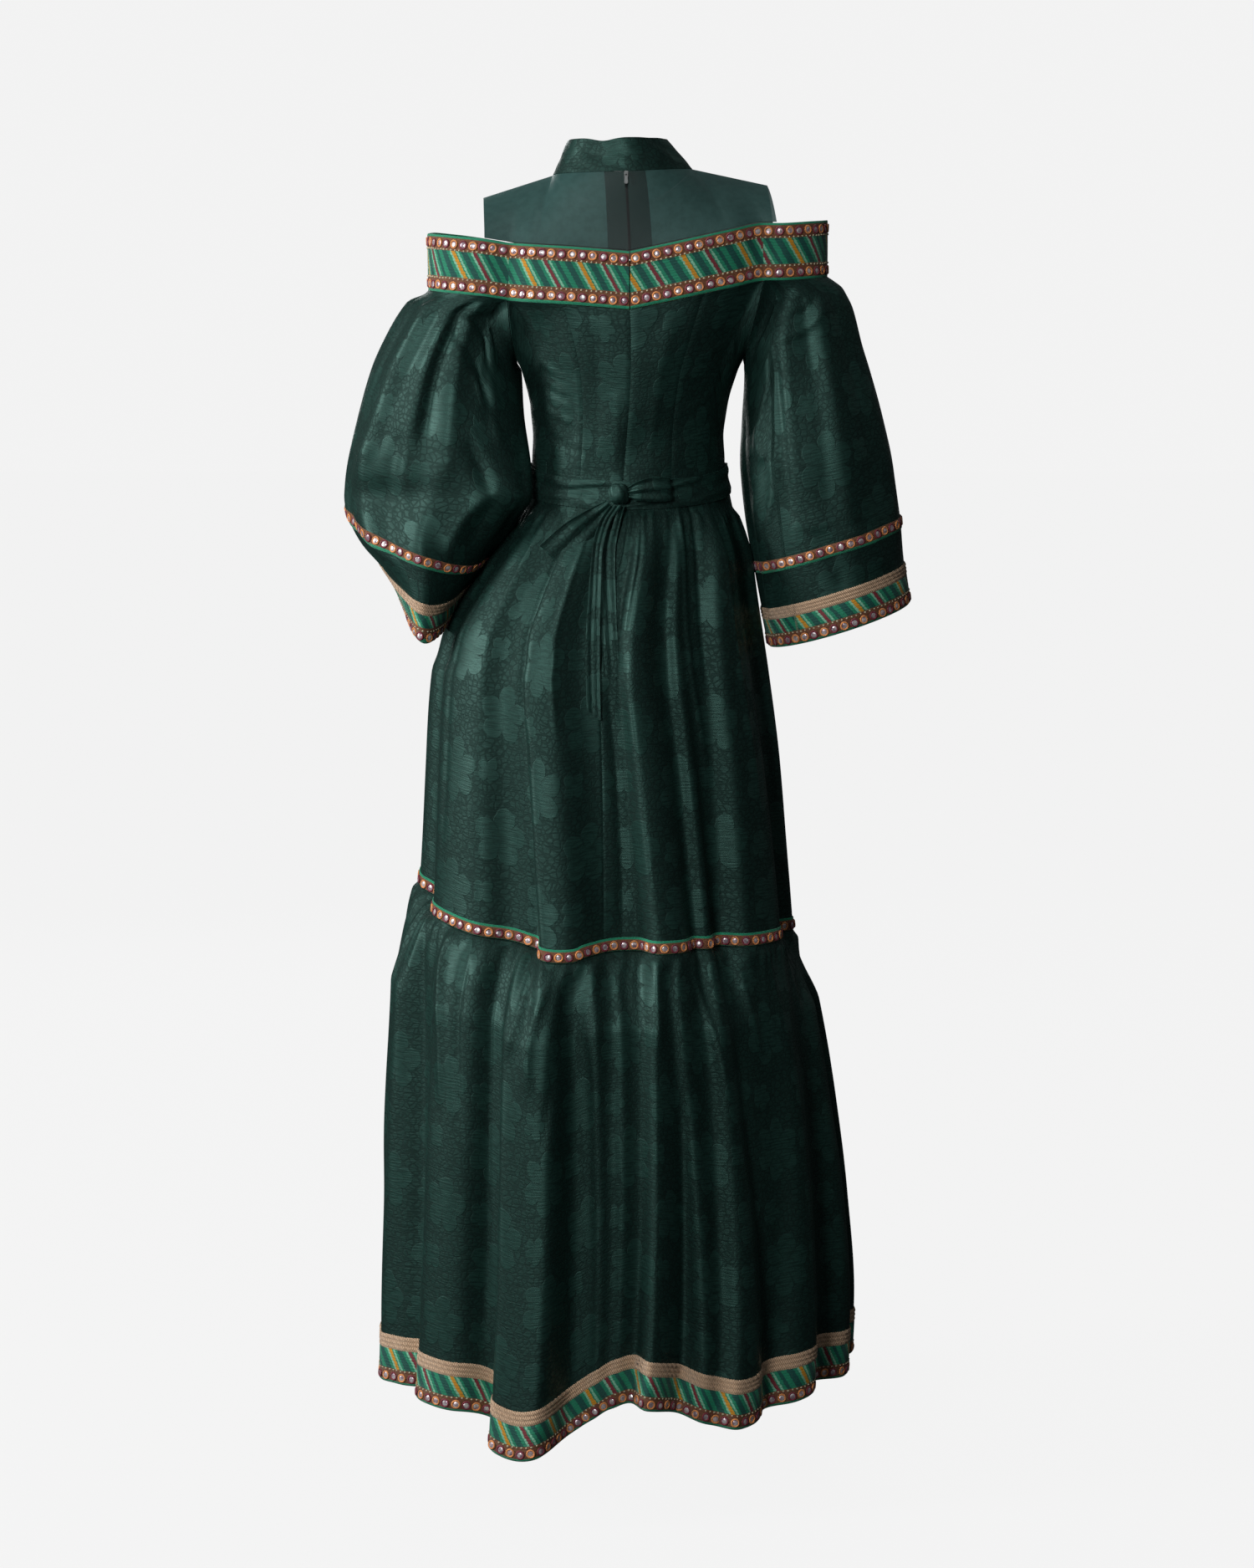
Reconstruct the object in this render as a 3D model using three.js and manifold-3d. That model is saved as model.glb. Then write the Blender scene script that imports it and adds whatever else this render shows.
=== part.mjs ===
// A full-length satin dress with cold shoulders, in the hollow shape that it has when it is worn.
// Millimetres, +Z up. The origin is the middle of the neck, level with the shoulder seams that carry the dress.
// The front faces -Y. The zip and the tied sash are at the back, at +Y, and the left sleeve is at +X.
// Round the body and round a sleeve, 0 degrees is +X and 90 degrees is the back.
import * as THREE from "three";
import { mergeVertices } from "three/addons/utils/BufferGeometryUtils.js";
import Module from "manifold-3d";

const wasm = await Module();
wasm.setup();

// Walls and gaps
const SATIN = 1.2;
const SHEER = 1.0;
const TWO_LAYERS = 1.6; // collar, sash and bow
const MIRROR_RIBBON = 2.0;
const TRIM = 1.4; // tapes and braids laid on a panel
const SEAM = 0.4; // between two pieces at a seam
const LIFT = 0.4; // from a panel to what lies on it
const SASH_LIFT = 1.6; // from the waist seam to the sash round it

// Heights
const SASH_TOP = -345; // these three at the middle of the back
const WAIST_SEAM = -361;
const SASH_FOOT = -377;
const WAIST_LIFT = 17; // how much higher the waist runs at the sides and the front
const RIBBON_HEIGHT = 64;
const COLLAR_HEIGHT = 39;

// Trims, measured up from the edge that they finish
const SEAM_TAPE = 15;
const HEM_RIBBON = 40;
const HEM_BRAID = 15;
const CUFF_RIBBON = 33;
const CUFF_BRAID = 12;
const SLEEVE_TAPE = { foot: 86, head: 100 };

// Columns in each stretch of the walls
const BACK_SPANS = 6;
const ARM_SPANS = 10;
const FRONT_SPANS = 6;
const ARMHOLE_SPANS = 6;
const NECK_SPANS = 4;
const SHOULDER_SPANS = 3;
const SKIRT_SPANS = 56;

// Zip slider and pull tab
const SLIDER = { width: 4.4, length: 8, thick: 1.4 };
const BRIDGE = { width: 1.2, length: 5, bar: 0.8, hollow: 1.6 };
const PULL = { width: 4, length: 15, thick: 0.8, eye: 4, rest: -1.5 };

const { clamp, lerp, degToRad } = THREE.MathUtils;

// The value of a column at a place between the rows of a table, on a curve that never overshoots the rows.
function read(rows, along, column, at) {
  const last = rows.length - 1;
  const sign = Math.sign(rows[last][along] - rows[0][along]);
  const place = clamp(at * sign, rows[0][along] * sign, rows[last][along] * sign);
  let i = 0;
  while (i < last - 1 && rows[i + 1][along] * sign < place) i++;
  const run = (k) => (rows[k + 1][along] - rows[k][along]) * sign;
  const rise = (k) => (rows[k + 1][column] - rows[k][column]) / run(k);
  const slope = (k) => {
    if (k === 0) return rise(0);
    if (k === last) return rise(last - 1);
    const product = rise(k - 1) * rise(k);
    return product <= 0 ? 0 : (2 * product) / (rise(k - 1) + rise(k));
  };
  const t = (place - rows[i][along] * sign) / run(i);
  const [t2, t3] = [t * t, t * t * t];
  return (
    (2 * t3 - 3 * t2 + 1) * rows[i][column] +
    (t3 - 2 * t2 + t) * run(i) * slope(i) +
    (3 * t2 - 2 * t3) * rows[i + 1][column] +
    (t3 - t2) * run(i) * slope(i + 1)
  );
}

// A point of a level oval given by how far it reaches to each of its four sides.
function oval(rows, at, degrees) {
  const left = read(rows, "z", "left", at);
  const right = read(rows, "z", "right", at);
  const side = Math.sin(degToRad(degrees));
  const reach = side > 0 ? read(rows, "z", "back", at) : -read(rows, "z", "front", at);
  const x = (left + right) / 2 + ((left - right) / 2) * Math.cos(degToRad(degrees));
  return new THREE.Vector3(x, reach * side, at);
}

// Ridges of cloth round an oval. Each runs from one direction at the top to another at the foot.
function ridges(folds, share, degrees) {
  return folds.reduce((sum, fold) => {
    const turn = (degrees - lerp(fold.top, fold.foot, share) + 540) % 360;
    const away = (((turn + 360) % 360) - 180) / fold.width;
    return sum + fold.height * Math.exp(-away * away);
  }, 0);
}

// A grid is rows of points from top to bottom, each going round anticlockwise as seen from above.
// Its normals point out of the garment.
function normalsOf(grid, closed) {
  const count = grid[0].length;
  return grid.map((row, i) =>
    row.map((_, j) => {
      const next = closed ? (j + 1) % count : Math.min(j + 1, count - 1);
      const before = closed ? (j + count - 1) % count : Math.max(j - 1, 0);
      const around = row[next].clone().sub(row[before]);
      const down = grid[Math.min(i + 1, grid.length - 1)][j].clone().sub(grid[Math.max(i - 1, 0)][j]);
      return down.cross(around).normalize();
    }),
  );
}

// A closed solid between two grids of the same size, the first on the outside.
function wall(outer, inner, closed) {
  const rows = outer.length;
  const count = outer[0].length;
  const low = rows - 1;
  const end = count - 1;
  const index = [];
  const outside = (i, j) => i * count + (j % count);
  const inside = (i, j) => rows * count + i * count + (j % count);
  const quad = (a, b, c, d) => index.push(a, b, c, a, c, d);
  for (let j = 0; j < (closed ? count : end); j++) {
    for (let i = 0; i < low; i++) {
      quad(outside(i, j), outside(i + 1, j), outside(i + 1, j + 1), outside(i, j + 1));
      quad(inside(i, j), inside(i, j + 1), inside(i + 1, j + 1), inside(i + 1, j));
    }
    quad(outside(0, j), outside(0, j + 1), inside(0, j + 1), inside(0, j));
    quad(outside(low, j), inside(low, j), inside(low, j + 1), outside(low, j + 1));
  }
  for (let i = 0; i < low && !closed; i++) {
    quad(outside(i, 0), inside(i, 0), inside(i + 1, 0), outside(i + 1, 0));
    quad(outside(i, end), outside(i + 1, end), inside(i + 1, end), inside(i, end));
  }
  const points = [...outer.flat(), ...inner.flat()];
  const geometry = new THREE.BufferGeometry().setFromPoints(points);
  geometry.setIndex(index);
  return geometry;
}

const moved = (grid, normals, distance) =>
  grid.map((row, i) => row.map((p, j) => p.clone().addScaledVector(normals[i][j], distance)));

// A run of columns. Numbers past the last one of a closed grid start again at the first.
const columnsOf = (grid, first, last) =>
  grid.map((row) =>
    Array.from({ length: last - first + 1 }, (_, k) => row[(first + k + row.length) % row.length].clone()),
  );

const towards = (from, to, distance) => from.clone().add(to.clone().sub(from).setLength(distance));

// The edges drawn in by half a seam: the two side edges, and on a trim the head and the foot too.
function drawIn(grid, sides, ends, by = SEAM / 2) {
  const low = grid.length - 1;
  const high = grid[0].length - 1;
  const sided = grid.map((row) => {
    const copy = row.map((p) => p.clone());
    if (sides) copy[0] = towards(row[0], row[1], by);
    if (sides) copy[high] = towards(row[high], row[high - 1], by);
    return copy;
  });
  if (!ends) return sided;
  return sided.map((row, i) =>
    row.map((p, j) => {
      if (i === 0) return towards(p, sided[1][j], by);
      return i === low ? towards(p, sided[low - 1][j], by) : p;
    }),
  );
}

// A panel of cloth from a run of columns, its thickness inwards from the grid.
function panel({ grid, normals }, first, last, thickness) {
  const face = drawIn(columnsOf(grid, first, last), true, false);
  return wall(face, moved(face, columnsOf(normals, first, last), -thickness), false);
}

// A trim laid on a panel, between two rows of its grid.
function trim({ grid, normals }, rows, first, last) {
  const pick = (source) => columnsOf(source.slice(rows[0], rows[1] + 1), first, last);
  const face = drawIn(pick(grid), true, true);
  const out = pick(normals);
  return wall(moved(face, out, LIFT + TRIM), moved(face, out, LIFT), false);
}

// The same for a trim that goes all the way round.
function hoop({ grid, normals }, rows) {
  const face = drawIn(grid.slice(rows[0], rows[1] + 1), false, true);
  const out = normals.slice(rows[0], rows[1] + 1);
  return wall(moved(face, out, LIFT + TRIM), moved(face, out, LIFT), true);
}

const finish = (color, roughness, metalness = 0) =>
  new THREE.MeshStandardMaterial({ color, roughness, metalness });
const satin = finish(0x14402f, 0.45);
const sheer = finish(0x24514a, 0.7);
const striped = finish(0x1d8f62, 0.7);
const mirrored = finish(0xb87345, 0.5);
const braided = finish(0xc9a377, 0.8);
const metal = finish(0xb9bcc0, 0.3, 0.9);

const dress = new THREE.Group();
function add(name, geometry, material, parent = dress) {
  const mesh = new THREE.Mesh(geometry, material);
  mesh.name = name;
  parent.add(mesh);
}

// Where the opening at the back runs, a little off the middle.
const ZIP_LINE = [
  { z: 40, x: 4 },
  { z: 0, x: 2 },
  { z: -90, x: -3 },
  { z: -160, x: -6 },
  { z: -250, x: -3 },
  { z: -341, x: 4 },
];
const zipAt = (z) => read(ZIP_LINE, "z", "x", z);

// The top edge of the mirror ribbon round the shoulders. Share runs from the middle of the back round the arm
// to the middle of the front, and flare is how far the ribbon's foot stands outside its top.
const RIBBON_LEFT = [
  { share: 0.0, x: -3, y: 98, z: -90, flare: 4 },
  { share: 0.1, x: 58, y: 95, z: -85, flare: 4 },
  { share: 0.2, x: 106, y: 86, z: -82, flare: 3 },
  { share: 0.26, x: 132, y: 74, z: -80, flare: 2 },
  { share: 0.33, x: 159, y: 74, z: -76, flare: 4 },
  { share: 0.41, x: 196, y: 62, z: -72, flare: 4 },
  { share: 0.49, x: 221, y: 30, z: -69, flare: 1 },
  { share: 0.55, x: 227, y: 2, z: -68, flare: -1 },
  { share: 0.62, x: 219, y: -30, z: -66, flare: 1 },
  { share: 0.69, x: 192, y: -58, z: -68, flare: 3 },
  { share: 0.76, x: 150, y: -72, z: -74, flare: 2 },
  { share: 0.83, x: 118, y: -97, z: -80, flare: 4 },
  { share: 0.92, x: 62, y: -117, z: -89, flare: 6 },
  { share: 1.0, x: 0, y: -123, z: -96, flare: 7 },
];
const RIBBON_RIGHT = [
  { share: 0.0, x: -3, y: 98, z: -90, flare: 4 },
  { share: 0.1, x: -64, y: 95, z: -77, flare: 4 },
  { share: 0.2, x: -118, y: 84, z: -65, flare: 3 },
  { share: 0.28, x: -152, y: 67, z: -58, flare: 2 },
  { share: 0.35, x: -172, y: 67, z: -58, flare: 4 },
  { share: 0.42, x: -202, y: 54, z: -56, flare: 4 },
  { share: 0.49, x: -223, y: 26, z: -54, flare: 2 },
  { share: 0.55, x: -228, y: 0, z: -53, flare: 0 },
  { share: 0.62, x: -220, y: -30, z: -53, flare: 1 },
  { share: 0.69, x: -195, y: -56, z: -55, flare: 3 },
  { share: 0.76, x: -154, y: -70, z: -62, flare: 2 },
  { share: 0.83, x: -118, y: -97, z: -72, flare: 4 },
  { share: 0.92, x: -62, y: -117, z: -87, flare: 6 },
  { share: 1.0, x: 0, y: -123, z: -96, flare: 7 },
];
const CREASE = { left: { back: 0.26, front: 0.76 }, right: { back: 0.28, front: 0.76 } };

const even = (from, to, spans) => Array.from({ length: spans }, (_, k) => lerp(from, to, k / spans));
const ribbonPoint = (rows, share) => {
  const [x, y, z] = ["x", "y", "z"].map((column) => read(rows, "share", column, share));
  return new THREE.Vector3(x, y, z);
};

// Columns of the ribbon, anticlockwise from the middle of the back, and those where its pieces meet.
const ribbonStations = [
  ...even(0, CREASE.right.back, BACK_SPANS).map((share) => [RIBBON_RIGHT, share]),
  ...even(CREASE.right.back, CREASE.right.front, ARM_SPANS).map((share) => [RIBBON_RIGHT, share]),
  ...even(CREASE.right.front, 1, FRONT_SPANS).map((share) => [RIBBON_RIGHT, share]),
  ...even(1, CREASE.left.front, FRONT_SPANS).map((share) => [RIBBON_LEFT, share]),
  ...even(CREASE.left.front, CREASE.left.back, ARM_SPANS).map((share) => [RIBBON_LEFT, share]),
  ...even(CREASE.left.back, 0, BACK_SPANS).map((share) => [RIBBON_LEFT, share]),
];
const MEET = {
  rightBack: BACK_SPANS,
  rightFront: BACK_SPANS + ARM_SPANS,
  leftFront: BACK_SPANS + ARM_SPANS + 2 * FRONT_SPANS,
  leftBack: BACK_SPANS + 2 * ARM_SPANS + 2 * FRONT_SPANS,
  back: ribbonStations.length,
};

const ribbonHead = ribbonStations.map(([rows, share]) => ribbonPoint(rows, share));
const ribbonFoot = ribbonStations.map(([rows, share], j) => {
  const count = ribbonHead.length;
  const along = ribbonHead[(j + 1) % count].clone().sub(ribbonHead[(j + count - 1) % count]);
  const out = new THREE.Vector3(along.y, -along.x, 0).normalize();
  const foot = ribbonHead[j].clone().addScaledVector(out, read(rows, "share", "flare", share));
  return foot.setZ(foot.z - RIBBON_HEIGHT);
});

function makeRibbon() {
  const middle = ribbonHead.map((p, j) => p.clone().lerp(ribbonFoot[j], 0.5));
  const grid = [ribbonHead, middle, ribbonFoot];
  const ring = { grid, normals: normalsOf(grid, true) };
  const pieces = [
    ["ribbon_back_right", 0, MEET.rightBack],
    ["ribbon_sleeve_right", MEET.rightBack, MEET.rightFront],
    ["ribbon_front", MEET.rightFront, MEET.leftFront],
    ["ribbon_sleeve_left", MEET.leftFront, MEET.leftBack],
    ["ribbon_back_left", MEET.leftBack, MEET.back],
  ];
  for (const [name, first, last] of pieces) add(name, panel(ring, first, last, MIRROR_RIBBON), striped);
}

// The armhole seam hangs under the arm from the ribbon's foot at one crease to its foot at the other.
const UNDERARM = { left: new THREE.Vector3(124, -2, -214), right: new THREE.Vector3(-131, -2, -212) };
function armhole(from, to, under) {
  return even(0, 1, ARMHOLE_SPANS).map((t) => {
    const low = Math.sin(Math.PI * t);
    const turn = Math.cos(Math.PI * t);
    return new THREE.Vector3(
      lerp(lerp(from.x, to.x, t), under.x, low ** 0.8),
      lerp(under.y, turn > 0 ? from.y : to.y, Math.abs(turn)),
      lerp(lerp(from.z, to.z, t), under.z, low ** 0.75),
    );
  });
}
const foot = (column) => ribbonFoot[column % ribbonFoot.length].clone();
const armholeRight = armhole(foot(MEET.rightBack), foot(MEET.rightFront), UNDERARM.right);
const armholeLeft = armhole(foot(MEET.leftFront), foot(MEET.leftBack), UNDERARM.left);

// The bodice, on a general figure. Cup is the fullness that the front darts give on each side.
const BODICE = [
  { z: -100, left: 150, right: -152, back: 100, front: -118, cup: 2 },
  { z: -150, left: 136, right: -145, back: 103, front: -123, cup: 7 },
  { z: -200, left: 121, right: -133, back: 100, front: -121, cup: 10 },
  { z: -250, left: 112, right: -117, back: 92, front: -110, cup: 5 },
  { z: -300, left: 108, right: -111, back: 83, front: -97, cup: 0 },
  { z: -328, left: 109, right: -112, back: 80, front: -92, cup: 0 },
  { z: -345, left: 111, right: -114, back: 79, front: -91, cup: 0 },
  { z: -377, left: 117, right: -119, back: 81, front: -92, cup: 0 },
];
const CUP = { from: 30, width: 22 }; // degrees from the middle of the front
const BODICE_SIDE = 35; // degrees from the side to the columns that start at a crease of the ribbon
const BODICE_ROWS = [0, 0.15, 0.4, 0.7, 1]; // down to the top of the sash

function bodicePoint(degrees, z) {
  const point = oval(BODICE, z, degrees);
  const fromFront = Math.abs((degrees % 360) - 270);
  const away = (fromFront - CUP.from) / CUP.width;
  point.y -= read(BODICE, "z", "cup", z) * Math.exp(-away * away);
  const fromZip = Math.abs((degrees % 360) - 90) / (90 - BODICE_SIDE);
  point.x += (zipAt(z) - oval(BODICE, z, 90).x) * Math.max(0, 1 - fromZip);
  return point;
}

const waistLift = (degrees) => WAIST_LIFT * (1 - Math.max(0, Math.sin(degToRad(degrees))));

// How soon a gathered or fitted edge gives way to the panel's own shape: the share of the way down where it has.
const BODICE_SETTLED = 0.4;
const SLEEVE_SETTLED = 0.06;
const FLOUNCE_SETTLED = 0.18;
const settle = (share, settled) => Math.min(1, share / settled) ** 0.6;

const bodiceTop = [
  ...ribbonFoot.slice(0, MEET.rightBack),
  ...armholeRight,
  ...ribbonFoot.slice(MEET.rightFront, MEET.leftFront),
  ...armholeLeft,
  ...ribbonFoot.slice(MEET.leftBack),
].map((p) => p.clone().setZ(p.z - 2 * SEAM));
const bodiceDegrees = [
  ...even(90, 180 - BODICE_SIDE, BACK_SPANS),
  ...even(180 - BODICE_SIDE, 180 + BODICE_SIDE, ARMHOLE_SPANS),
  ...even(180 + BODICE_SIDE, 360 - BODICE_SIDE, 2 * FRONT_SPANS),
  ...even(360 - BODICE_SIDE, 360 + BODICE_SIDE, ARMHOLE_SPANS),
  ...even(360 + BODICE_SIDE, 450, BACK_SPANS),
];

function makeBodice() {
  const upper = BODICE_ROWS.map((share) =>
    bodiceTop.map((top, k) => {
      const at = (z) => bodicePoint(bodiceDegrees[k], z);
      const point = at(lerp(top.z, SASH_TOP + waistLift(bodiceDegrees[k]), share));
      const edge = top.clone().sub(at(top.z));
      return point.addScaledVector(edge, 1 - settle(share, BODICE_SETTLED));
    }),
  );
  const grid = [...upper, bodiceDegrees.map((d) => bodicePoint(d, WAIST_SEAM + waistLift(d)))];
  const shell = { grid, normals: normalsOf(grid, true) };
  const side = BACK_SPANS + ARMHOLE_SPANS / 2;
  const count = bodiceTop.length;
  const dart = BACK_SPANS / 2;
  const pieces = [
    ["bodice_back_right", 0, dart],
    ["bodice_side_right", dart, side],
    ["bodice_front", side, count - side],
    ["bodice_side_left", count - side, count - dart],
    ["bodice_back_left", count - dart, count],
  ];
  for (const [name, first, last] of pieces) add(name, panel(shell, first, last, SATIN), satin);
}

// Neckline and yoke
const NECK = [
  { degrees: 90, z: -1, topZ: 37 },
  { degrees: 180, z: 4, topZ: 37 },
  { degrees: 270, z: -38, topZ: 4 },
  { degrees: 360, z: -3, topZ: 36 },
  { degrees: 450, z: -1, topZ: 37 },
];
const NECK_OVAL = [
  { z: 0, left: 84, right: -74, back: 65, front: -60 },
  { z: COLLAR_HEIGHT, left: 67, right: -46, back: 59, front: -53 },
];
const SHOULDER_TIP = { left: new THREE.Vector3(163, 0, -28), right: new THREE.Vector3(-159, 0, -14) };
const YOKE_CORNER = { left: { back: 0.33, front: 0.735 }, right: { back: 0.335, front: 0.735 } };
const FACING_DEGREES = 18; // of the neckline, that the head of a facing takes up
const FACING_SHARE = 0.042; // of the ribbon's round, that the foot of a facing takes up
const YOKE_ROWS = [0, 0.2, 0.45, 0.72, 1];
const YOKE_BEND = { x: 0.5, y: 0.62, z: 0.28 }; // of the way down, where a line of the yoke turns
const COLLAR_OPENING = 2; // degrees either side of the zip
const ZIP_FADES = 40; // degrees from the zip to where the neckline no longer follows it

// A point of the neckline or of the collar that stands on it, share of the collar's height up.
function neckPoint(degrees, share = 0) {
  const point = oval(NECK_OVAL, share * COLLAR_HEIGHT, degrees);
  const low = read(NECK, "degrees", "z", degrees);
  point.z = lerp(low, read(NECK, "degrees", "topZ", degrees), share);
  const middle = oval(NECK_OVAL, share * COLLAR_HEIGHT, 90).x;
  const fromZip = Math.abs(degrees > 270 ? degrees - 450 : degrees - 90) / ZIP_FADES;
  point.x += (zipAt(point.z) - middle) * Math.max(0, 1 - fromZip);
  return point;
}
const quarterOfNeck = [0, ...even(FACING_DEGREES, 90, NECK_SPANS - 1)];

// One quarter of the yoke: from the middle, along the neckline and then out along the shoulder seam.
function yokeQuarter(side, end) {
  const back = end === "back";
  const middle = back ? (side === "right" ? 90 : 450) : 270;
  const turn = (side === "right") === back ? 1 : -1;
  const neck = [...quarterOfNeck, 90].map((degrees) => neckPoint(middle + turn * degrees));
  const shoulderY = back ? SEAM / 2 : -SEAM / 2;
  const start = neck[NECK_SPANS].setY(shoulderY);
  const tip = SHOULDER_TIP[side].clone().setY(shoulderY);
  const shoulder = even(0, 1, SHOULDER_SPANS).map((t) => start.clone().lerp(tip, t + 1 / SHOULDER_SPANS));
  const top = [...neck, ...shoulder];
  const rows = side === "right" ? RIBBON_RIGHT : RIBBON_LEFT;
  const corner = YOKE_CORNER[side][end];
  const first = back ? 0 : 1;
  const spans = NECK_SPANS + SHOULDER_SPANS;
  const inner = first + Math.sign(corner - first) * FACING_SHARE;
  const shares = top.map((_, k) => (k === 0 ? first : lerp(inner, corner, (k - 1) / (spans - 1))));
  return YOKE_ROWS.map((t) =>
    top.map((high, k) => {
      const low = ribbonPoint(rows, shares[k]);
      low.z += SEAM + SHEER;
      const bend = new THREE.Vector3(
        lerp(high.x, low.x, YOKE_BEND.x),
        lerp(high.y, low.y, YOKE_BEND.y),
        lerp(high.z, low.z, YOKE_BEND.z),
      );
      return high.clone().lerp(bend, t).lerp(bend.clone().lerp(low, t), t);
    }),
  );
}

function makeYoke() {
  const backRight = yokeQuarter("right", "back");
  const backLeft = yokeQuarter("left", "back").map((row) => row.reverse());
  const frontRight = yokeQuarter("right", "front").map((row) => row.reverse());
  const frontLeft = yokeQuarter("left", "front");
  const front = frontRight.map((row, i) => [...row, ...frontLeft[i].slice(1)]);
  // The edges that meet along the shoulder seams face straight up from it.
  const yokeNormals = (grid) => {
    const normals = normalsOf(grid, false);
    grid[0].forEach((p, j) => Math.abs(p.y) < 1 && normals[0][j].setY(0).normalize());
    return normals;
  };
  for (const [name, grid] of [
    ["yoke_back_right", backRight],
    ["yoke_back_left", backLeft],
    ["yoke_front", front],
  ])
    add(name, panel({ grid, normals: yokeNormals(grid) }, 0, grid[0].length - 1, SHEER), sheer);
  for (const [name, grid, first] of [
    ["zip_facing_right", backRight, 0],
    ["zip_facing_left", backLeft, NECK_SPANS + SHOULDER_SPANS - 1],
  ]) {
    const normals = columnsOf(normalsOf(grid, false), first, first + 1);
    const face = drawIn(columnsOf(grid, first, first + 1), true, true, 2 * SEAM);
    const near = moved(face, normals, -SHEER - LIFT);
    add(name, wall(near, moved(near, normals, -SHEER), false), satin);
  }
}

function makeCollar() {
  const backwards = quarterOfNeck.slice(1).reverse();
  const stations = [
    90 + COLLAR_OPENING,
    ...quarterOfNeck.slice(1).map((turn) => 90 + turn),
    180,
    ...backwards.map((turn) => 270 - turn),
    ...quarterOfNeck.map((turn) => 270 + turn),
    360,
    ...backwards.map((turn) => 450 - turn),
    450 - COLLAR_OPENING,
  ];
  const grid = [1, 0.5, 0].map((share) =>
    stations.map((degrees) => neckPoint(degrees, share).add(new THREE.Vector3(0, 0, (1 - share) * SEAM))),
  );
  const normals = normalsOf(grid, false);
  add("collar", wall(grid, moved(grid, normals, -TWO_LAYERS), false), satin);
}

// Sleeves, as level ovals. Turn swings an oval in plan, so that one end of it goes further back.
const SLEEVE_RIGHT = [
  { z: -134, x: -197, y: 2, wide: 50, deep: 62, turn: 0 },
  { z: -153, x: -200, y: 3, wide: 57, deep: 67, turn: 0 },
  { z: -191, x: -202, y: 4, wide: 66, deep: 72, turn: 0 },
  { z: -220, x: -206, y: 5, wide: 71, deep: 75, turn: 0 },
  { z: -277, x: -212, y: 7, wide: 81, deep: 78, turn: 0 },
  { z: -334, x: -218, y: 8, wide: 88, deep: 80, turn: 0 },
  { z: -391, x: -225, y: 6, wide: 89, deep: 80, turn: 0 },
  { z: -449, x: -233, y: 2, wide: 87, deep: 79, turn: 0 },
  { z: -540, x: -249, y: -4, wide: 84, deep: 78, turn: 0 },
];
const SLEEVE_LEFT = [
  { z: -134, x: 183, y: 2, wide: 52, deep: 62, turn: 0 },
  { z: -153, x: 190, y: 4, wide: 61, deep: 67, turn: 0 },
  { z: -191, x: 200, y: 7, wide: 74, deep: 71, turn: -4 },
  { z: -220, x: 206, y: 9, wide: 82, deep: 73, turn: -8 },
  { z: -277, x: 212, y: 13, wide: 96, deep: 72, turn: -14 },
  { z: -334, x: 215, y: 17, wide: 112, deep: 66, turn: -21 },
  { z: -363, x: 216, y: 20, wide: 117, deep: 58, turn: -24 },
  { z: -391, x: 222, y: 14, wide: 101, deep: 68, turn: -20 },
  { z: -420, x: 224, y: 3, wide: 80, deep: 86, turn: -13 },
  { z: -449, x: 222, y: -12, wide: 57, deep: 101, turn: -6 },
  { z: -478, x: 224, y: -26, wide: 38, deep: 113, turn: -3 },
  { z: -507, x: 226, y: -37, wide: 24, deep: 122, turn: -2 },
  { z: -540, x: 227, y: -43, wide: 18, deep: 126, turn: -2 },
];
// The hem of each sleeve is slanted, and the trims above it too: the hem's height at a place, and how it rises
// outwards from the middle of the sleeve and forwards from that place.
const CUFF = {
  right: { y: -4, z: -512, outwards: 0.3, forwards: 0.05 },
  left: { y: 80, z: -528, outwards: 0.38, forwards: 0.3 },
};
const SLEEVE_ROWS = [0, 0.06, 0.15, 0.3, 0.52, 0.78];
const ARM_DEGREES = 250; // round the outside of the sleeve, from one crease to the other

function sleevePoint(rows, degrees, z) {
  const value = (column) => read(rows, "z", column, z);
  const turn = degToRad(value("turn"));
  const wide = value("wide") * Math.cos(degToRad(degrees));
  const deep = value("deep") * Math.sin(degToRad(degrees));
  const x = value("x") + wide * Math.cos(turn) - deep * Math.sin(turn);
  const y = value("y") + wide * Math.sin(turn) + deep * Math.cos(turn);
  return new THREE.Vector3(x, y, z);
}

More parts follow.
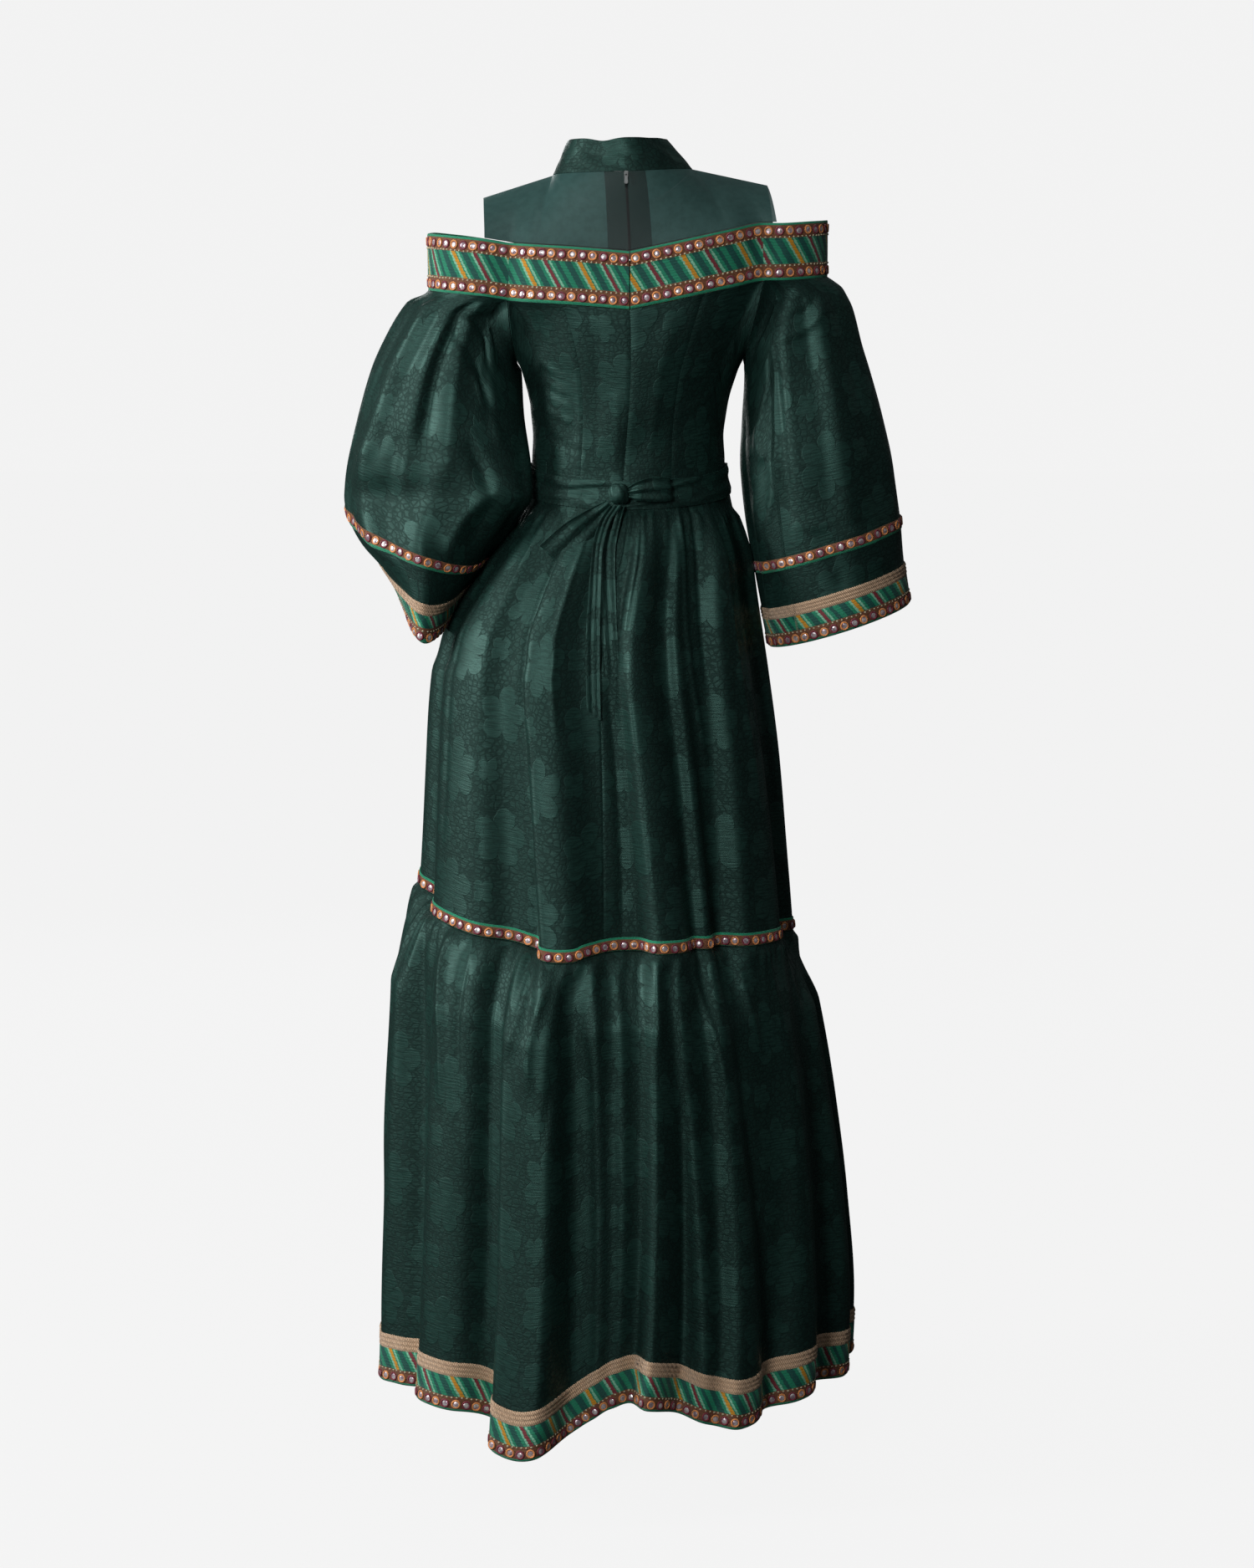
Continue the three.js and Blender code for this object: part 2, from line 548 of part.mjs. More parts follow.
function makeSleeve(side) {
  const right = side === "right";
  const sign = right ? -1 : 1;
  const sections = right ? SLEEVE_RIGHT : SLEEVE_LEFT;
  const first = right ? MEET.rightBack : MEET.leftFront;
  const arm = ribbonFoot.slice(first, first + ARM_SPANS);
  const under = right
    ? [foot(MEET.rightFront), ...armholeRight.slice(1).reverse()]
    : [foot(MEET.leftBack), ...armholeLeft.slice(1).reverse()];
  const away = new THREE.Vector3(sign * 4 * SEAM, 0, -2 * SEAM);
  const top = [...arm.map((p) => p.clone().setZ(p.z - 2 * SEAM)), ...under.map((p) => p.clone().add(away))];
  top[0].x += sign * 3 * SEAM;
  const start = right ? 180 - ARM_DEGREES / 2 : -ARM_DEGREES / 2;
  const degrees = [
    ...even(start, start + ARM_DEGREES, ARM_SPANS),
    ...even(start + ARM_DEGREES, start + 360, ARMHOLE_SPANS),
  ];
  const cuff = CUFF[side];
  const slantAt = (k, rise) => {
    const p = sleevePoint(sections, degrees[k], cuff.z + rise);
    const outwards = (p.x - read(sections, "z", "x", cuff.z + rise)) * sign;
    return p.z + cuff.outwards * outwards + cuff.forwards * (cuff.y - p.y);
  };
  const level = (k, z) => sleevePoint(sections, degrees[k], z);
  const upper = SLEEVE_ROWS.map((share) =>
    top.map((high, k) => {
      const point = level(k, lerp(high.z, slantAt(k, SLEEVE_TAPE.head), share));
      return point.addScaledVector(high.clone().sub(level(k, high.z)), 1 - settle(share, SLEEVE_SETTLED));
    }),
  );
  const lower = [SLEEVE_TAPE.head, SLEEVE_TAPE.foot, CUFF_RIBBON + CUFF_BRAID, CUFF_RIBBON, 0].map((rise) =>
    top.map((_, k) => level(k, slantAt(k, rise))),
  );
  const grid = [...upper, ...lower];
  const normals = normalsOf(grid, true);
  const tape = upper.length;
  add(`sleeve_${side}`, wall(grid, moved(grid, normals, -SATIN), true), satin);
  add(`sleeve_tape_${side}`, hoop({ grid, normals }, [tape, tape + 1]), mirrored);
  add(`cuff_braid_${side}`, hoop({ grid, normals }, [tape + 2, tape + 3]), braided);
  add(`cuff_ribbon_${side}`, hoop({ grid, normals }, [tape + 3, tape + 4]), striped);
}

// Skirt, from the waist to the seam of the flounce
const SKIRT = [
  { z: -341, left: 110, right: -113, back: 79, front: -90 },
  { z: -375, left: 117, right: -120, back: 81, front: -94 },
  { z: -420, left: 127, right: -131, back: 104, front: -108 },
  { z: -480, left: 164, right: -142, back: 128, front: -124 },
  { z: -520, left: 196, right: -149, back: 138, front: -131 },
  { z: -545, left: 209, right: -153, back: 142, front: -135 },
  { z: -565, left: 216, right: -156, back: 146, front: -138 },
  { z: -680, left: 226, right: -171, back: 158, front: -150 },
  { z: -800, left: 233, right: -181, back: 170, front: -161 },
  { z: -872, left: 238, right: -186, back: 178, front: -168 },
];
const SKIRT_FOLDS = [
  { top: 16, foot: 8, width: 12, height: 9 },
  { top: 52, foot: 46, width: 13, height: 13 },
  { top: 76, foot: 79, width: 12, height: 14 },
  { top: 100, foot: 110, width: 12, height: 13 },
  { top: 128, foot: 142, width: 11, height: 11 },
  { top: 160, foot: 172, width: 12, height: 8 },
  { top: 196, foot: 202, width: 13, height: 11 },
  { top: 226, foot: 231, width: 13, height: 13 },
  { top: 258, foot: 259, width: 12, height: 12 },
  { top: 286, foot: 288, width: 13, height: 14 },
  { top: 318, foot: 317, width: 12, height: 11 },
  { top: 346, foot: 340, width: 11, height: 9 },
];
// The seam of the flounce rides up at the left side.
const FLOUNCE_SEAM = [
  { degrees: 0, z: -808 },
  { degrees: 18, z: -828 },
  { degrees: 60, z: -859 },
  { degrees: 78, z: -872 },
  { degrees: 95, z: -866 },
  { degrees: 180, z: -868 },
  { degrees: 270, z: -871 },
  { degrees: 315, z: -858 },
  { degrees: 345, z: -826 },
  { degrees: 360, z: -808 },
];
// Rows below the waist, and how much of the waist's lift each has; then shares of the way on down to the tape.
const SKIRT_HEAD = [
  { z: WAIST_SEAM - SEAM, lift: 1 },
  { z: SASH_FOOT, lift: 1 },
  { z: -396, lift: 0.7 },
  { z: -430, lift: 0.3 },
];
const SKIRT_ROWS = [0.16, 0.42, 0.7, 1];
const SKIRT_FOOT = -872;
const SKIRT_SUNK = 3; // how far the skirt's foot lies inside its oval between the folds

const seamAt = (degrees) => read(FLOUNCE_SEAM, "degrees", "z", degrees % 360);
const skirtDegrees = even(90, 450, SKIRT_SPANS);

function skirtPoint(degrees, z) {
  const fall = clamp((SASH_FOOT - z) / (SASH_FOOT - SKIRT_FOOT), 0, 1);
  const point = oval(SKIRT, z, degrees);
  const out = new THREE.Vector3(Math.cos(degToRad(degrees)), Math.sin(degToRad(degrees)), 0);
  const fold = ridges(SKIRT_FOLDS, fall, degrees % 360) * fall ** 0.8;
  return point.addScaledVector(out, fold - SKIRT_SUNK * fall);
}

function makeSkirt() {
  const low = (degrees) => seamAt(degrees) + SEAM;
  const head = (degrees) => SKIRT_HEAD.at(-1).z + SKIRT_HEAD.at(-1).lift * waistLift(degrees);
  const fall = (degrees, share) => lerp(head(degrees), low(degrees) + SEAM_TAPE, share);
  const rows = [
    ...SKIRT_HEAD.map(({ z, lift }) => skirtDegrees.map((d) => skirtPoint(d, z + lift * waistLift(d)))),
    ...SKIRT_ROWS.map((share) => skirtDegrees.map((d) => skirtPoint(d, fall(d, share)))),
  ];
  const grid = [...rows, skirtDegrees.map((d) => skirtPoint(d, low(d)))];
  const shell = { grid, normals: normalsOf(grid, true) };
  const quarter = SKIRT_SPANS / 4;
  add("skirt_back_right", panel(shell, 0, quarter, SATIN), satin);
  add("skirt_front", panel(shell, quarter, 3 * quarter, SATIN), satin);
  add("skirt_back_left", panel(shell, 3 * quarter, 4 * quarter, SATIN), satin);
  const tape = [rows.length - 1, rows.length];
  add("seam_tape_front", trim(shell, tape, quarter, 3 * quarter), mirrored);
  add("seam_tape_back", trim(shell, tape, 3 * quarter, 5 * quarter), mirrored);
}

// Flounce, from its seam to the hem
const FLOUNCE = [
  { z: -808, left: 252, right: -190, back: 186, front: -176 },
  { z: -888, left: 260, right: -197, back: 200, front: -189 },
  { z: -948, left: 266, right: -212, back: 211, front: -200 },
  { z: -1067, left: 277, right: -234, back: 225, front: -213 },
  { z: -1188, left: 284, right: -250, back: 237, front: -224 },
  { z: -1309, left: 290, right: -258, back: 247, front: -234 },
  { z: -1400, left: 292, right: -254, back: 253, front: -241 },
];
const FLUTES = [
  { top: 4, foot: 6, width: 10, height: 20 },
  { top: 30, foot: 28, width: 8, height: 14 },
  { top: 47, foot: 53, width: 9, height: 18 },
  { top: 68, foot: 71, width: 8, height: 34 },
  { top: 97, foot: 97, width: 7, height: 6 },
  { top: 108, foot: 121, width: 11, height: 24 },
  { top: 135, foot: 146, width: 10, height: 22 },
  { top: 170, foot: 173, width: 11, height: 18 },
  { top: 198, foot: 200, width: 11, height: 24 },
  { top: 224, foot: 226, width: 10, height: 20 },
  { top: 250, foot: 252, width: 10, height: 27 },
  { top: 281, foot: 280, width: 11, height: 22 },
  { top: 308, foot: 306, width: 10, height: 26 },
  { top: 334, foot: 333, width: 10, height: 20 },
];
const HEM = [
  { degrees: 0, z: -1377 },
  { degrees: 28, z: -1376 },
  { degrees: 53, z: -1384 },
  { degrees: 71, z: -1419 },
  { degrees: 95, z: -1368 },
  { degrees: 121, z: -1397 },
  { degrees: 146, z: -1384 },
  { degrees: 180, z: -1390 },
  { degrees: 225, z: -1388 },
  { degrees: 252, z: -1400 },
  { degrees: 306, z: -1392 },
  { degrees: 360, z: -1377 },
];
const FLOUNCE_ROWS = [0, 0.05, 0.18, 0.55];
const FLUTE_HEAD = 0.25; // of a flute's height, that it has at the seam
const HEM_SUNK = 4; // how far the hem lies inside its oval between the flutes

function flouncePoint(degrees, z, share) {
  const point = oval(FLOUNCE, z, degrees);
  const out = new THREE.Vector3(Math.cos(degToRad(degrees)), Math.sin(degToRad(degrees)), 0);
  const flute = ridges(FLUTES, share, degrees % 360) * lerp(FLUTE_HEAD, 1, share);
  return point.addScaledVector(out, flute - HEM_SUNK * share);
}

function makeFlounce() {
  const hemAt = (d) => read(HEM, "degrees", "z", d % 360);
  const braidTop = (d) => hemAt(d) + HEM_RIBBON + HEM_BRAID;
  const head = skirtDegrees.map((d) => skirtPoint(d, seamAt(d)));
  const shareAt = (d, z) => (seamAt(d) - z) / (seamAt(d) - hemAt(d));
  const upper = FLOUNCE_ROWS.map((share) =>
    skirtDegrees.map((d, k) => {
      const z = lerp(seamAt(d), braidTop(d), share);
      const edge = head[k].clone().sub(flouncePoint(d, seamAt(d), 0));
      return flouncePoint(d, z, shareAt(d, z)).addScaledVector(edge, 1 - settle(share, FLOUNCE_SETTLED));
    }),
  );
  const lower = [HEM_RIBBON + HEM_BRAID, HEM_RIBBON, 0].map((rise) =>
    skirtDegrees.map((d) => flouncePoint(d, hemAt(d) + rise, shareAt(d, hemAt(d) + rise))),
  );
  const grid = [...upper, ...lower];
  const shell = { grid, normals: normalsOf(grid, true) };
  const quarter = SKIRT_SPANS / 4;
  const braid = [upper.length, upper.length + 1];
  const ribbon = [upper.length + 1, upper.length + 2];
  for (const [end, first, last] of [
    ["front", quarter, 3 * quarter],
    ["back", 3 * quarter, 5 * quarter],
  ]) {
    add(`flounce_${end}`, panel(shell, first, last, SATIN), satin);
    add(`hem_braid_${end}`, trim(shell, braid, first, last), braided);
    add(`hem_ribbon_${end}`, trim(shell, ribbon, first, last), striped);
  }
}

// The sash goes round the waist over the seam and is tied in a bow at the back.
function makeSash() {
  const grid = [SASH_TOP, WAIST_SEAM, SASH_FOOT].map((z) =>
    skirtDegrees.map((degrees) => oval(BODICE, z + waistLift(degrees), degrees)),
  );
  const normals = normalsOf(grid, true);
  const outer = moved(grid, normals, SASH_LIFT + TWO_LAYERS);
  add("sash", wall(outer, moved(grid, normals, SASH_LIFT), true), satin);
}

// The surface of the back at a place seen from behind, on the sash or on the skirt below it.
function backAt(x, z) {
  const onSash = z > SASH_FOOT - SASH_LIFT;
  const rows = onSash ? BODICE : SKIRT;
  const left = read(rows, "z", "left", z);
  const right = read(rows, "z", "right", z);
  const degrees = THREE.MathUtils.radToDeg(Math.acos(clamp((2 * x - left - right) / (left - right), -1, 1)));
  return onSash ? oval(BODICE, z, degrees).y + SASH_LIFT + TWO_LAYERS : skirtPoint(degrees, z).y;
}

// A flat strip of the bow. Each row of its table is a place on its middle line seen from behind, how far that
// stands off the back, and half of the width. Across is the direction of the width, turned from upright.
const KNOT = { x: 9, z: -359, wide: 11, deep: 7, tall: 11 };
const BOW = {
  bow_loop_right: {
    across: 8,
    rows: [
      { x: -2.2, off: 8.2, z: -358, half: 6 },
      { x: -14, off: 12, z: -356, half: 11 },
      { x: -34, off: 12, z: -354, half: 14 },
      { x: -47, off: 10, z: -354, half: 13 },
      { x: -49, off: 7, z: -354, half: 12 },
      { x: -46, off: 4.5, z: -354, half: 12 },
      { x: -32, off: 3.5, z: -354, half: 13 },
      { x: -16, off: 4, z: -356, half: 10 },
      { x: -3, off: 6, z: -358, half: 6 },
    ],
  },
  bow_loop_left: {
    across: 44,
    rows: [
      { x: 19, off: 10, z: -371, half: 7 },
      { x: 32, off: 11, z: -383, half: 12 },
      { x: 58, off: 11, z: -405, half: 18 },
      { x: 82, off: 9, z: -429, half: 20 },
      { x: 84, off: 6.5, z: -431, half: 20 },
      { x: 80, off: 4.5, z: -427, half: 19 },
      { x: 56, off: 5, z: -404, half: 16 },
      { x: 33, off: 5.5, z: -384, half: 10 },
      { x: 22, off: 5, z: -374, half: 6 },
    ],
  },
  bow_tail_long: {
    across: 90,
    rows: [
      { x: 13, off: 12, z: -372, half: 6 },
      { x: 25, off: 16, z: -390, half: 6 },
      { x: 33, off: 18, z: -420, half: 6 },
      { x: 36, off: 16.5, z: -470, half: 7 },
      { x: 38, off: 9, z: -530, half: 8 },
      { x: 37, off: 5, z: -602, half: 8 },
    ],
  },
  bow_tail_short: {
    across: 90,
    rows: [
      { x: 8, off: 6, z: -372.5, half: 6 },
      { x: 15, off: 3.5, z: -392, half: 8 },
      { x: 22, off: 3, z: -430, half: 9 },
      { x: 20, off: 2.6, z: -500, half: 9 },
      { x: 17, off: 2.6, z: -560, half: 9 },
    ],
  },
};

function makeBow() {
  const knot = new THREE.SphereGeometry(1, 14, 8).scale(KNOT.wide, KNOT.deep, KNOT.tall);
  knot.translate(KNOT.x, backAt(KNOT.x, KNOT.z) + KNOT.deep + LIFT, KNOT.z);
  add("bow_knot", knot, satin);
  for (const [name, { across, rows }] of Object.entries(BOW)) {
    const side = new THREE.Vector3(Math.sin(degToRad(across)), 0, Math.cos(degToRad(across)));
    const grid = [1, 0, -1].map((edge) =>
      rows.map(({ x, off, z, half }) => {
        const point = new THREE.Vector3(x, 0, z).addScaledVector(side, edge * half);
        return point.setY(backAt(point.x, point.z) + off);
      }),
    );
    const normals = normalsOf(grid, false);
    const half = TWO_LAYERS / 2;
    add(name, wall(moved(grid, normals, half), moved(grid, normals, -half), false), satin);
  }
}

// The slider stands on the cloth at the top of the opening, and the tab swings on its bridge.
const ZIP_PLACE = new THREE.Vector3(1, 68.2, -5);
const ZIP_SLOPE = 38; // degrees that the cloth there leans back from upright

// Two closed shapes joined into one solid.
function joined(first, second) {
  const solid = (geometry) => {
    const bare = geometry.clone();
    bare.deleteAttribute("normal");
    bare.deleteAttribute("uv");
    const merged = mergeVertices(bare, 1e-4);
    return new wasm.Manifold(
      new wasm.Mesh({
        numProp: 3,
        vertProperties: merged.getAttribute("position").array,
        triVerts: new Uint32Array(merged.index.array),
      }),
    );
  };
  const mesh = solid(first).add(solid(second)).getMesh();
  const geometry = new THREE.BufferGeometry();
  geometry.setAttribute("position", new THREE.BufferAttribute(mesh.vertProperties, 3));
  geometry.setIndex([...mesh.triVerts]);
  return geometry;
}

function makeZip() {
  const zip = new THREE.Group();
  zip.position.copy(ZIP_PLACE);
  zip.rotation.x = degToRad(ZIP_SLOPE);
  dress.add(zip);

  // The slider is a plate with a bridge on it, and the tab's bar lies in the hollow under the bridge.
  const face = LIFT + SLIDER.thick;
  const plate = new THREE.BoxGeometry(SLIDER.width, SLIDER.thick, SLIDER.length);
  plate.translate(0, LIFT + SLIDER.thick / 2, 0);
  const reach = BRIDGE.length / 2;
  const sunk = face - BRIDGE.bar / 2;
  const top = face + BRIDGE.hollow + BRIDGE.bar;
  const arch = new THREE.Shape();
  arch.moveTo(-reach, sunk);
  arch.lineTo(-reach + BRIDGE.bar, sunk);
  arch.lineTo(-reach + BRIDGE.bar, top - BRIDGE.bar);
  arch.lineTo(reach - BRIDGE.bar, top - BRIDGE.bar);
  arch.lineTo(reach - BRIDGE.bar, sunk);
  arch.lineTo(reach, sunk);
  arch.lineTo(reach, top);
  arch.lineTo(-reach, top);
  const bridge = new THREE.ExtrudeGeometry(arch, { depth: BRIDGE.width, bevelEnabled: false });
  bridge.translate(0, 0, -BRIDGE.width / 2).rotateY(-Math.PI / 2);
  add("zip_slider", joined(plate, bridge), metal, zip);

  const tab = new THREE.Group();
  tab.position.set(0, face + BRIDGE.hollow / 2, 0);
  tab.rotation.x = degToRad(PULL.rest);
  zip.add(tab);
  const wide = PULL.width / 2;
  const bar = PULL.thick / 2;
  const drop = new THREE.Shape();
  drop.moveTo(-wide * 0.8, bar);
  drop.lineTo(-wide * 0.8, -PULL.eye);
  drop.lineTo(-wide, -PULL.length * 0.7);
  drop.absarc(0, -PULL.length + wide, wide, Math.PI, 2 * Math.PI, false);
  drop.lineTo(wide, -PULL.length * 0.7);
  drop.lineTo(wide * 0.8, -PULL.eye);
  drop.lineTo(wide * 0.8, bar);
  const eye = new THREE.Path();
  eye.moveTo(-BRIDGE.width / 2 - SEAM, -bar);
  eye.lineTo(BRIDGE.width / 2 + SEAM, -bar);
  eye.lineTo(BRIDGE.width / 2 + SEAM, -PULL.eye + bar);
  eye.lineTo(-BRIDGE.width / 2 - SEAM, -PULL.eye + bar);
  drop.holes.push(eye);
  const flat = new THREE.ExtrudeGeometry(drop, { depth: PULL.thick, bevelEnabled: false, curveSegments: 8 });
  flat.translate(0, 0, -PULL.thick / 2).rotateX(Math.PI / 2);
  add("zip_pull", flat, metal, tab);
}

makeRibbon();
makeBodice();
makeYoke();
makeCollar();
makeSleeve("right");
makeSleeve("left");
makeSkirt();
makeFlounce();
makeSash();
makeBow();
makeZip();

export default dress;
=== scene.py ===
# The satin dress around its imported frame: cloth shells, mirror ribbons, braids, sheer yoke and tied sash.
# Tables are in millimetres in the frame of the part. Columns run anticlockwise seen from above, 90 degrees is the back.
import math
import bpy
import numpy as np
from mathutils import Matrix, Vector


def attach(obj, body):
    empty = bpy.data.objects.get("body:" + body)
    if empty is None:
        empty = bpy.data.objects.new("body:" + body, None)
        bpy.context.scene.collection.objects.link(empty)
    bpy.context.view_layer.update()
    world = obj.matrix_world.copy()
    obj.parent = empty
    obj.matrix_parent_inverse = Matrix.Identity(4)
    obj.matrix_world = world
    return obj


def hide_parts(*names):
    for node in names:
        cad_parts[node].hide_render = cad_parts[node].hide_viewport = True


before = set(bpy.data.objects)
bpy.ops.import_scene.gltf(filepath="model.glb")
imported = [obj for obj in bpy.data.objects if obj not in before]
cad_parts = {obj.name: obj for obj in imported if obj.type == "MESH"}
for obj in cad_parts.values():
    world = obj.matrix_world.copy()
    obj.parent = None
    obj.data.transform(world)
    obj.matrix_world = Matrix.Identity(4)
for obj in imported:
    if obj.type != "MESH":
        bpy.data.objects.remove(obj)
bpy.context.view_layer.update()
MM = 0.001

# Sizes shared with the solids: thickness of each cloth, then heights of seams and trims
SATIN, SHEER, TWO_LAYERS, RIBBON_THICK = 1.2, 1.0, 1.6, 2.0
SEAM, LIFT, SASH_LIFT = 0.4, 0.4, 1.6
SASH_TOP, WAIST_SEAM, SASH_FOOT, WAIST_LIFT = -345, -361, -377, 17
RIBBON_HEIGHT, COLLAR_HEIGHT = 64, 39
SEAM_TAPE, HEM_RIBBON, HEM_BRAID, CUFF_RIBBON, CUFF_BRAID = 15, 40, 15, 33, 12
SLEEVE_TAPE = (86, 100)
BODICE_SIDE, ARM_DEGREES = 35, 250

# Sizes of the visible cloth alone. The facing's width is in metres, on the flat cut.
YOKE_THICK, FACING_THICK, FACING_BEHIND = 0.5, 0.8, 0.9
ZIP_FACING = 0.024
SLEEVE_UNDER_RIBBON = 1.3
ZIP_SLIT = 0.14  # the share of its last column by which each half of the ribbon stops short of the zip

# How many times a fold stands out beyond its height in the tables, and how far the cloth is drawn in at the foot
SKIRT_FOLDS_OUT, SKIRT_DRAWN_IN, SKIRT_LOWEST = 2.4, 13, -872
FLOUNCE_FOLDS_OUT, FLOUNCE_DRAWN_IN = 1.7, 22


# Reading the tables
def table(names, *rows):
    return dict(zip(names.split(), np.array(rows, float).T))


def curve(xs, ys, at):
    """A smooth curve through the rows that never overshoots them."""
    if xs[-1] < xs[0]:
        xs, ys = xs[::-1], ys[::-1]
    at = np.clip(at, xs[0], xs[-1])
    run = np.diff(xs)
    rise = np.diff(ys) / run
    slope = np.concatenate([rise[:1], np.zeros(len(xs) - 2), rise[-1:]])
    product = rise[:-1] * rise[1:]
    total = rise[:-1] + rise[1:]
    slope[1:-1] = np.where(product > 0, 2 * product / np.where(product > 0, total, 1), 0)
    i = np.clip(np.searchsorted(xs, at, side="right") - 1, 0, len(xs) - 2)
    t = (at - xs[i]) / run[i]
    a, b = t * t, t * t * t
    return ((2 * b - 3 * a + 1) * ys[i] + (b - 2 * a + t) * run[i] * slope[i]
            + (3 * a - 2 * b) * ys[i + 1] + (b - a) * run[i] * slope[i + 1])


def read(rows, along, column, at):
    return curve(rows[along], rows[column], np.asarray(at, float))


def lerp(a, b, t):
    return a + (b - a) * t


def point(x, y, z):
    return np.stack(np.broadcast_arrays(x, y, z), -1).astype(float)


def oval(rows, z, degrees):
    left, right = read(rows, "z", "left", z), read(rows, "z", "right", z)
    side = np.sin(np.radians(degrees))
    reach = np.where(side > 0, read(rows, "z", "back", z), -read(rows, "z", "front", z))
    return point((left + right) / 2 + (left - right) / 2 * np.cos(np.radians(degrees)), reach * side, z)


def settle(share, settled):
    """From 0 at an edge to 1 where the cloth has its own shape, at the share called settled."""
    return np.minimum(1, share / settled) ** 0.6


def around(degrees, middle):
    """How far a direction is from another, from -180 to 180."""
    return (degrees - middle + 540) % 360 - 180


def step(x):
    x = np.clip(x, 0, 1)
    return x * x * (3 - 2 * x)


# Folds. Each stands between a left and a right edge, given at the head and at the foot, with its own softness
# at each edge and its own height at the head and at the foot.
def folds(rows, degrees, share):
    total = 0
    for left0, right0, left1, right1, soft_left, soft_right, high0, high1 in rows:
        left = around(degrees, left0 + (left1 - left0) * share)
        right = around(degrees, right0 + (right1 - right0) * share)
        rise = 0.5 * (np.tanh(left / soft_left) - np.tanh(right / soft_right))
        near = np.abs(left) < 100
        total = total + np.where(near, rise, 0) * lerp(high0, high1, share)
    return total


# Creases. Each runs from one place to another, bows sideways between them, and fades at both of its ends.
def creases(rows, degrees, share):
    total = 0
    for from_at, from_share, to_at, to_share, bow, width, height in rows:
        t = (share - from_share) / (to_share - from_share)
        inside = np.clip(t, 0, 1)
        middle = from_at + (to_at - from_at) * inside + bow * np.sin(np.pi * inside)
        away = np.abs(around(degrees, middle)) / width
        fade = step(t * 5 + 0.5) * step((1 - t) * 3 + 0.3)
        total = total + height * np.exp(-away ** 1.6) * fade
    return total


# Gathers: small ridges from a seam, uneven in place, width, height and length.
def gathers(seed, first, last, spacing, height, length, degrees, share):
    rng = np.random.RandomState(seed)
    total, at = 0, first
    while at < last:
        at += spacing * rng.uniform(0.55, 1.5)
        tall, wide = height * rng.uniform(0.35, 1.3), spacing * rng.uniform(0.22, 0.42)
        reach, drift = length * rng.uniform(0.35, 1.5), rng.uniform(-6, 6)
        away = np.abs(around(degrees, at + drift * share)) / (wide * (1 + 2.4 * share / reach))
        total = total + tall * np.exp(-away ** 1.7) * np.exp(-(share / reach) ** 1.4)
    return total * (0.35 + 0.65 * step(share / 0.02))


def waves(seed, degrees, share, size, round_count, down_count):
    """A shallow unevenness of the cloth."""
    rng = np.random.RandomState(seed)
    total = 0
    for k in range(7):
        a, b = rng.randint(round_count // 2, round_count + 1), rng.uniform(0.4, 1.0) * down_count
        total = total + np.sin(np.radians(a * degrees) + b * np.pi * share * 2 + rng.uniform(0, 6.28)) / 7 ** 0.5
    return total * size


# Meshes
def new_mesh(name, verts, faces, uv, materials, slots=None, sharp=None):
    """Faces is a list of arrays, one for each number of corners. Uv has one row for each vertex."""
    me = bpy.data.meshes.new(name)
    me.vertices.add(len(verts))
    me.vertices.foreach_set("co", (np.asarray(verts, float) * MM).ravel())
    corners = np.concatenate([f.ravel() for f in faces])
    starts, at = [], 0
    for f in faces:
        starts.append(at + np.arange(len(f)) * f.shape[1])
        at += f.size
    starts = np.concatenate(starts)
    me.loops.add(len(corners))
    me.loops.foreach_set("vertex_index", corners.astype(np.int32))
    me.polygons.add(len(starts))
    me.polygons.foreach_set("loop_start", starts.astype(np.int32))
    if slots is not None:
        me.polygons.foreach_set("material_index", np.asarray(slots, np.int32))
    me.update(calc_edges=True)
    me.polygons.foreach_set("use_smooth", np.ones(len(starts), bool))
    layer = me.uv_layers.new(name="cloth")
    layer.uv.foreach_set("vector", np.asarray(uv, np.float32)[corners].ravel())
    if sharp is not None:
        ends = np.zeros(len(me.edges) * 2, np.int32)
        me.edges.foreach_get("vertices", ends)
        ends = ends.reshape(-1, 2)
        mark = me.attributes.new("sharp_edge", "BOOLEAN", "EDGE")
        mark.data.foreach_set("value", (sharp[ends[:, 0]] > 0) & (sharp[ends[:, 0]] == sharp[ends[:, 1]]))
    for m in materials:
        me.materials.append(m)
    ob = bpy.data.objects.new(name, me)
    bpy.context.scene.collection.objects.link(ob)
    return ob


def normals_of(grid, closed):
    if closed:
        turn = np.roll(grid, -1, 1) - np.roll(grid, 1, 1)
    else:
        turn = np.concatenate([grid[:, 1:], grid[:, -1:]], 1) - np.concatenate([grid[:, :1], grid[:, :-1]], 1)
    down = np.concatenate([grid[1:], grid[-1:]], 0) - np.concatenate([grid[:1], grid[:-1]], 0)
    n = np.cross(down, turn)
    return n / (np.linalg.norm(n, axis=2, keepdims=True) + 1e-12)


def cut_sizes(grid, closed):
    """Mean arc lengths along the rows and down the columns, in metres, as places on the flat cut."""
    if closed:
        grid = np.concatenate([grid, grid[:, :1]], 1)
    across = np.linalg.norm(np.diff(grid, axis=1), axis=2).mean(0)
    down = np.linalg.norm(np.diff(grid, axis=0), axis=2).mean(1)
    return np.concatenate([[0], np.cumsum(across)]) * MM, np.concatenate([[0], np.cumsum(down)]) * MM


FLAT = {}  # width and length of each piece's cut, in metres, by its name


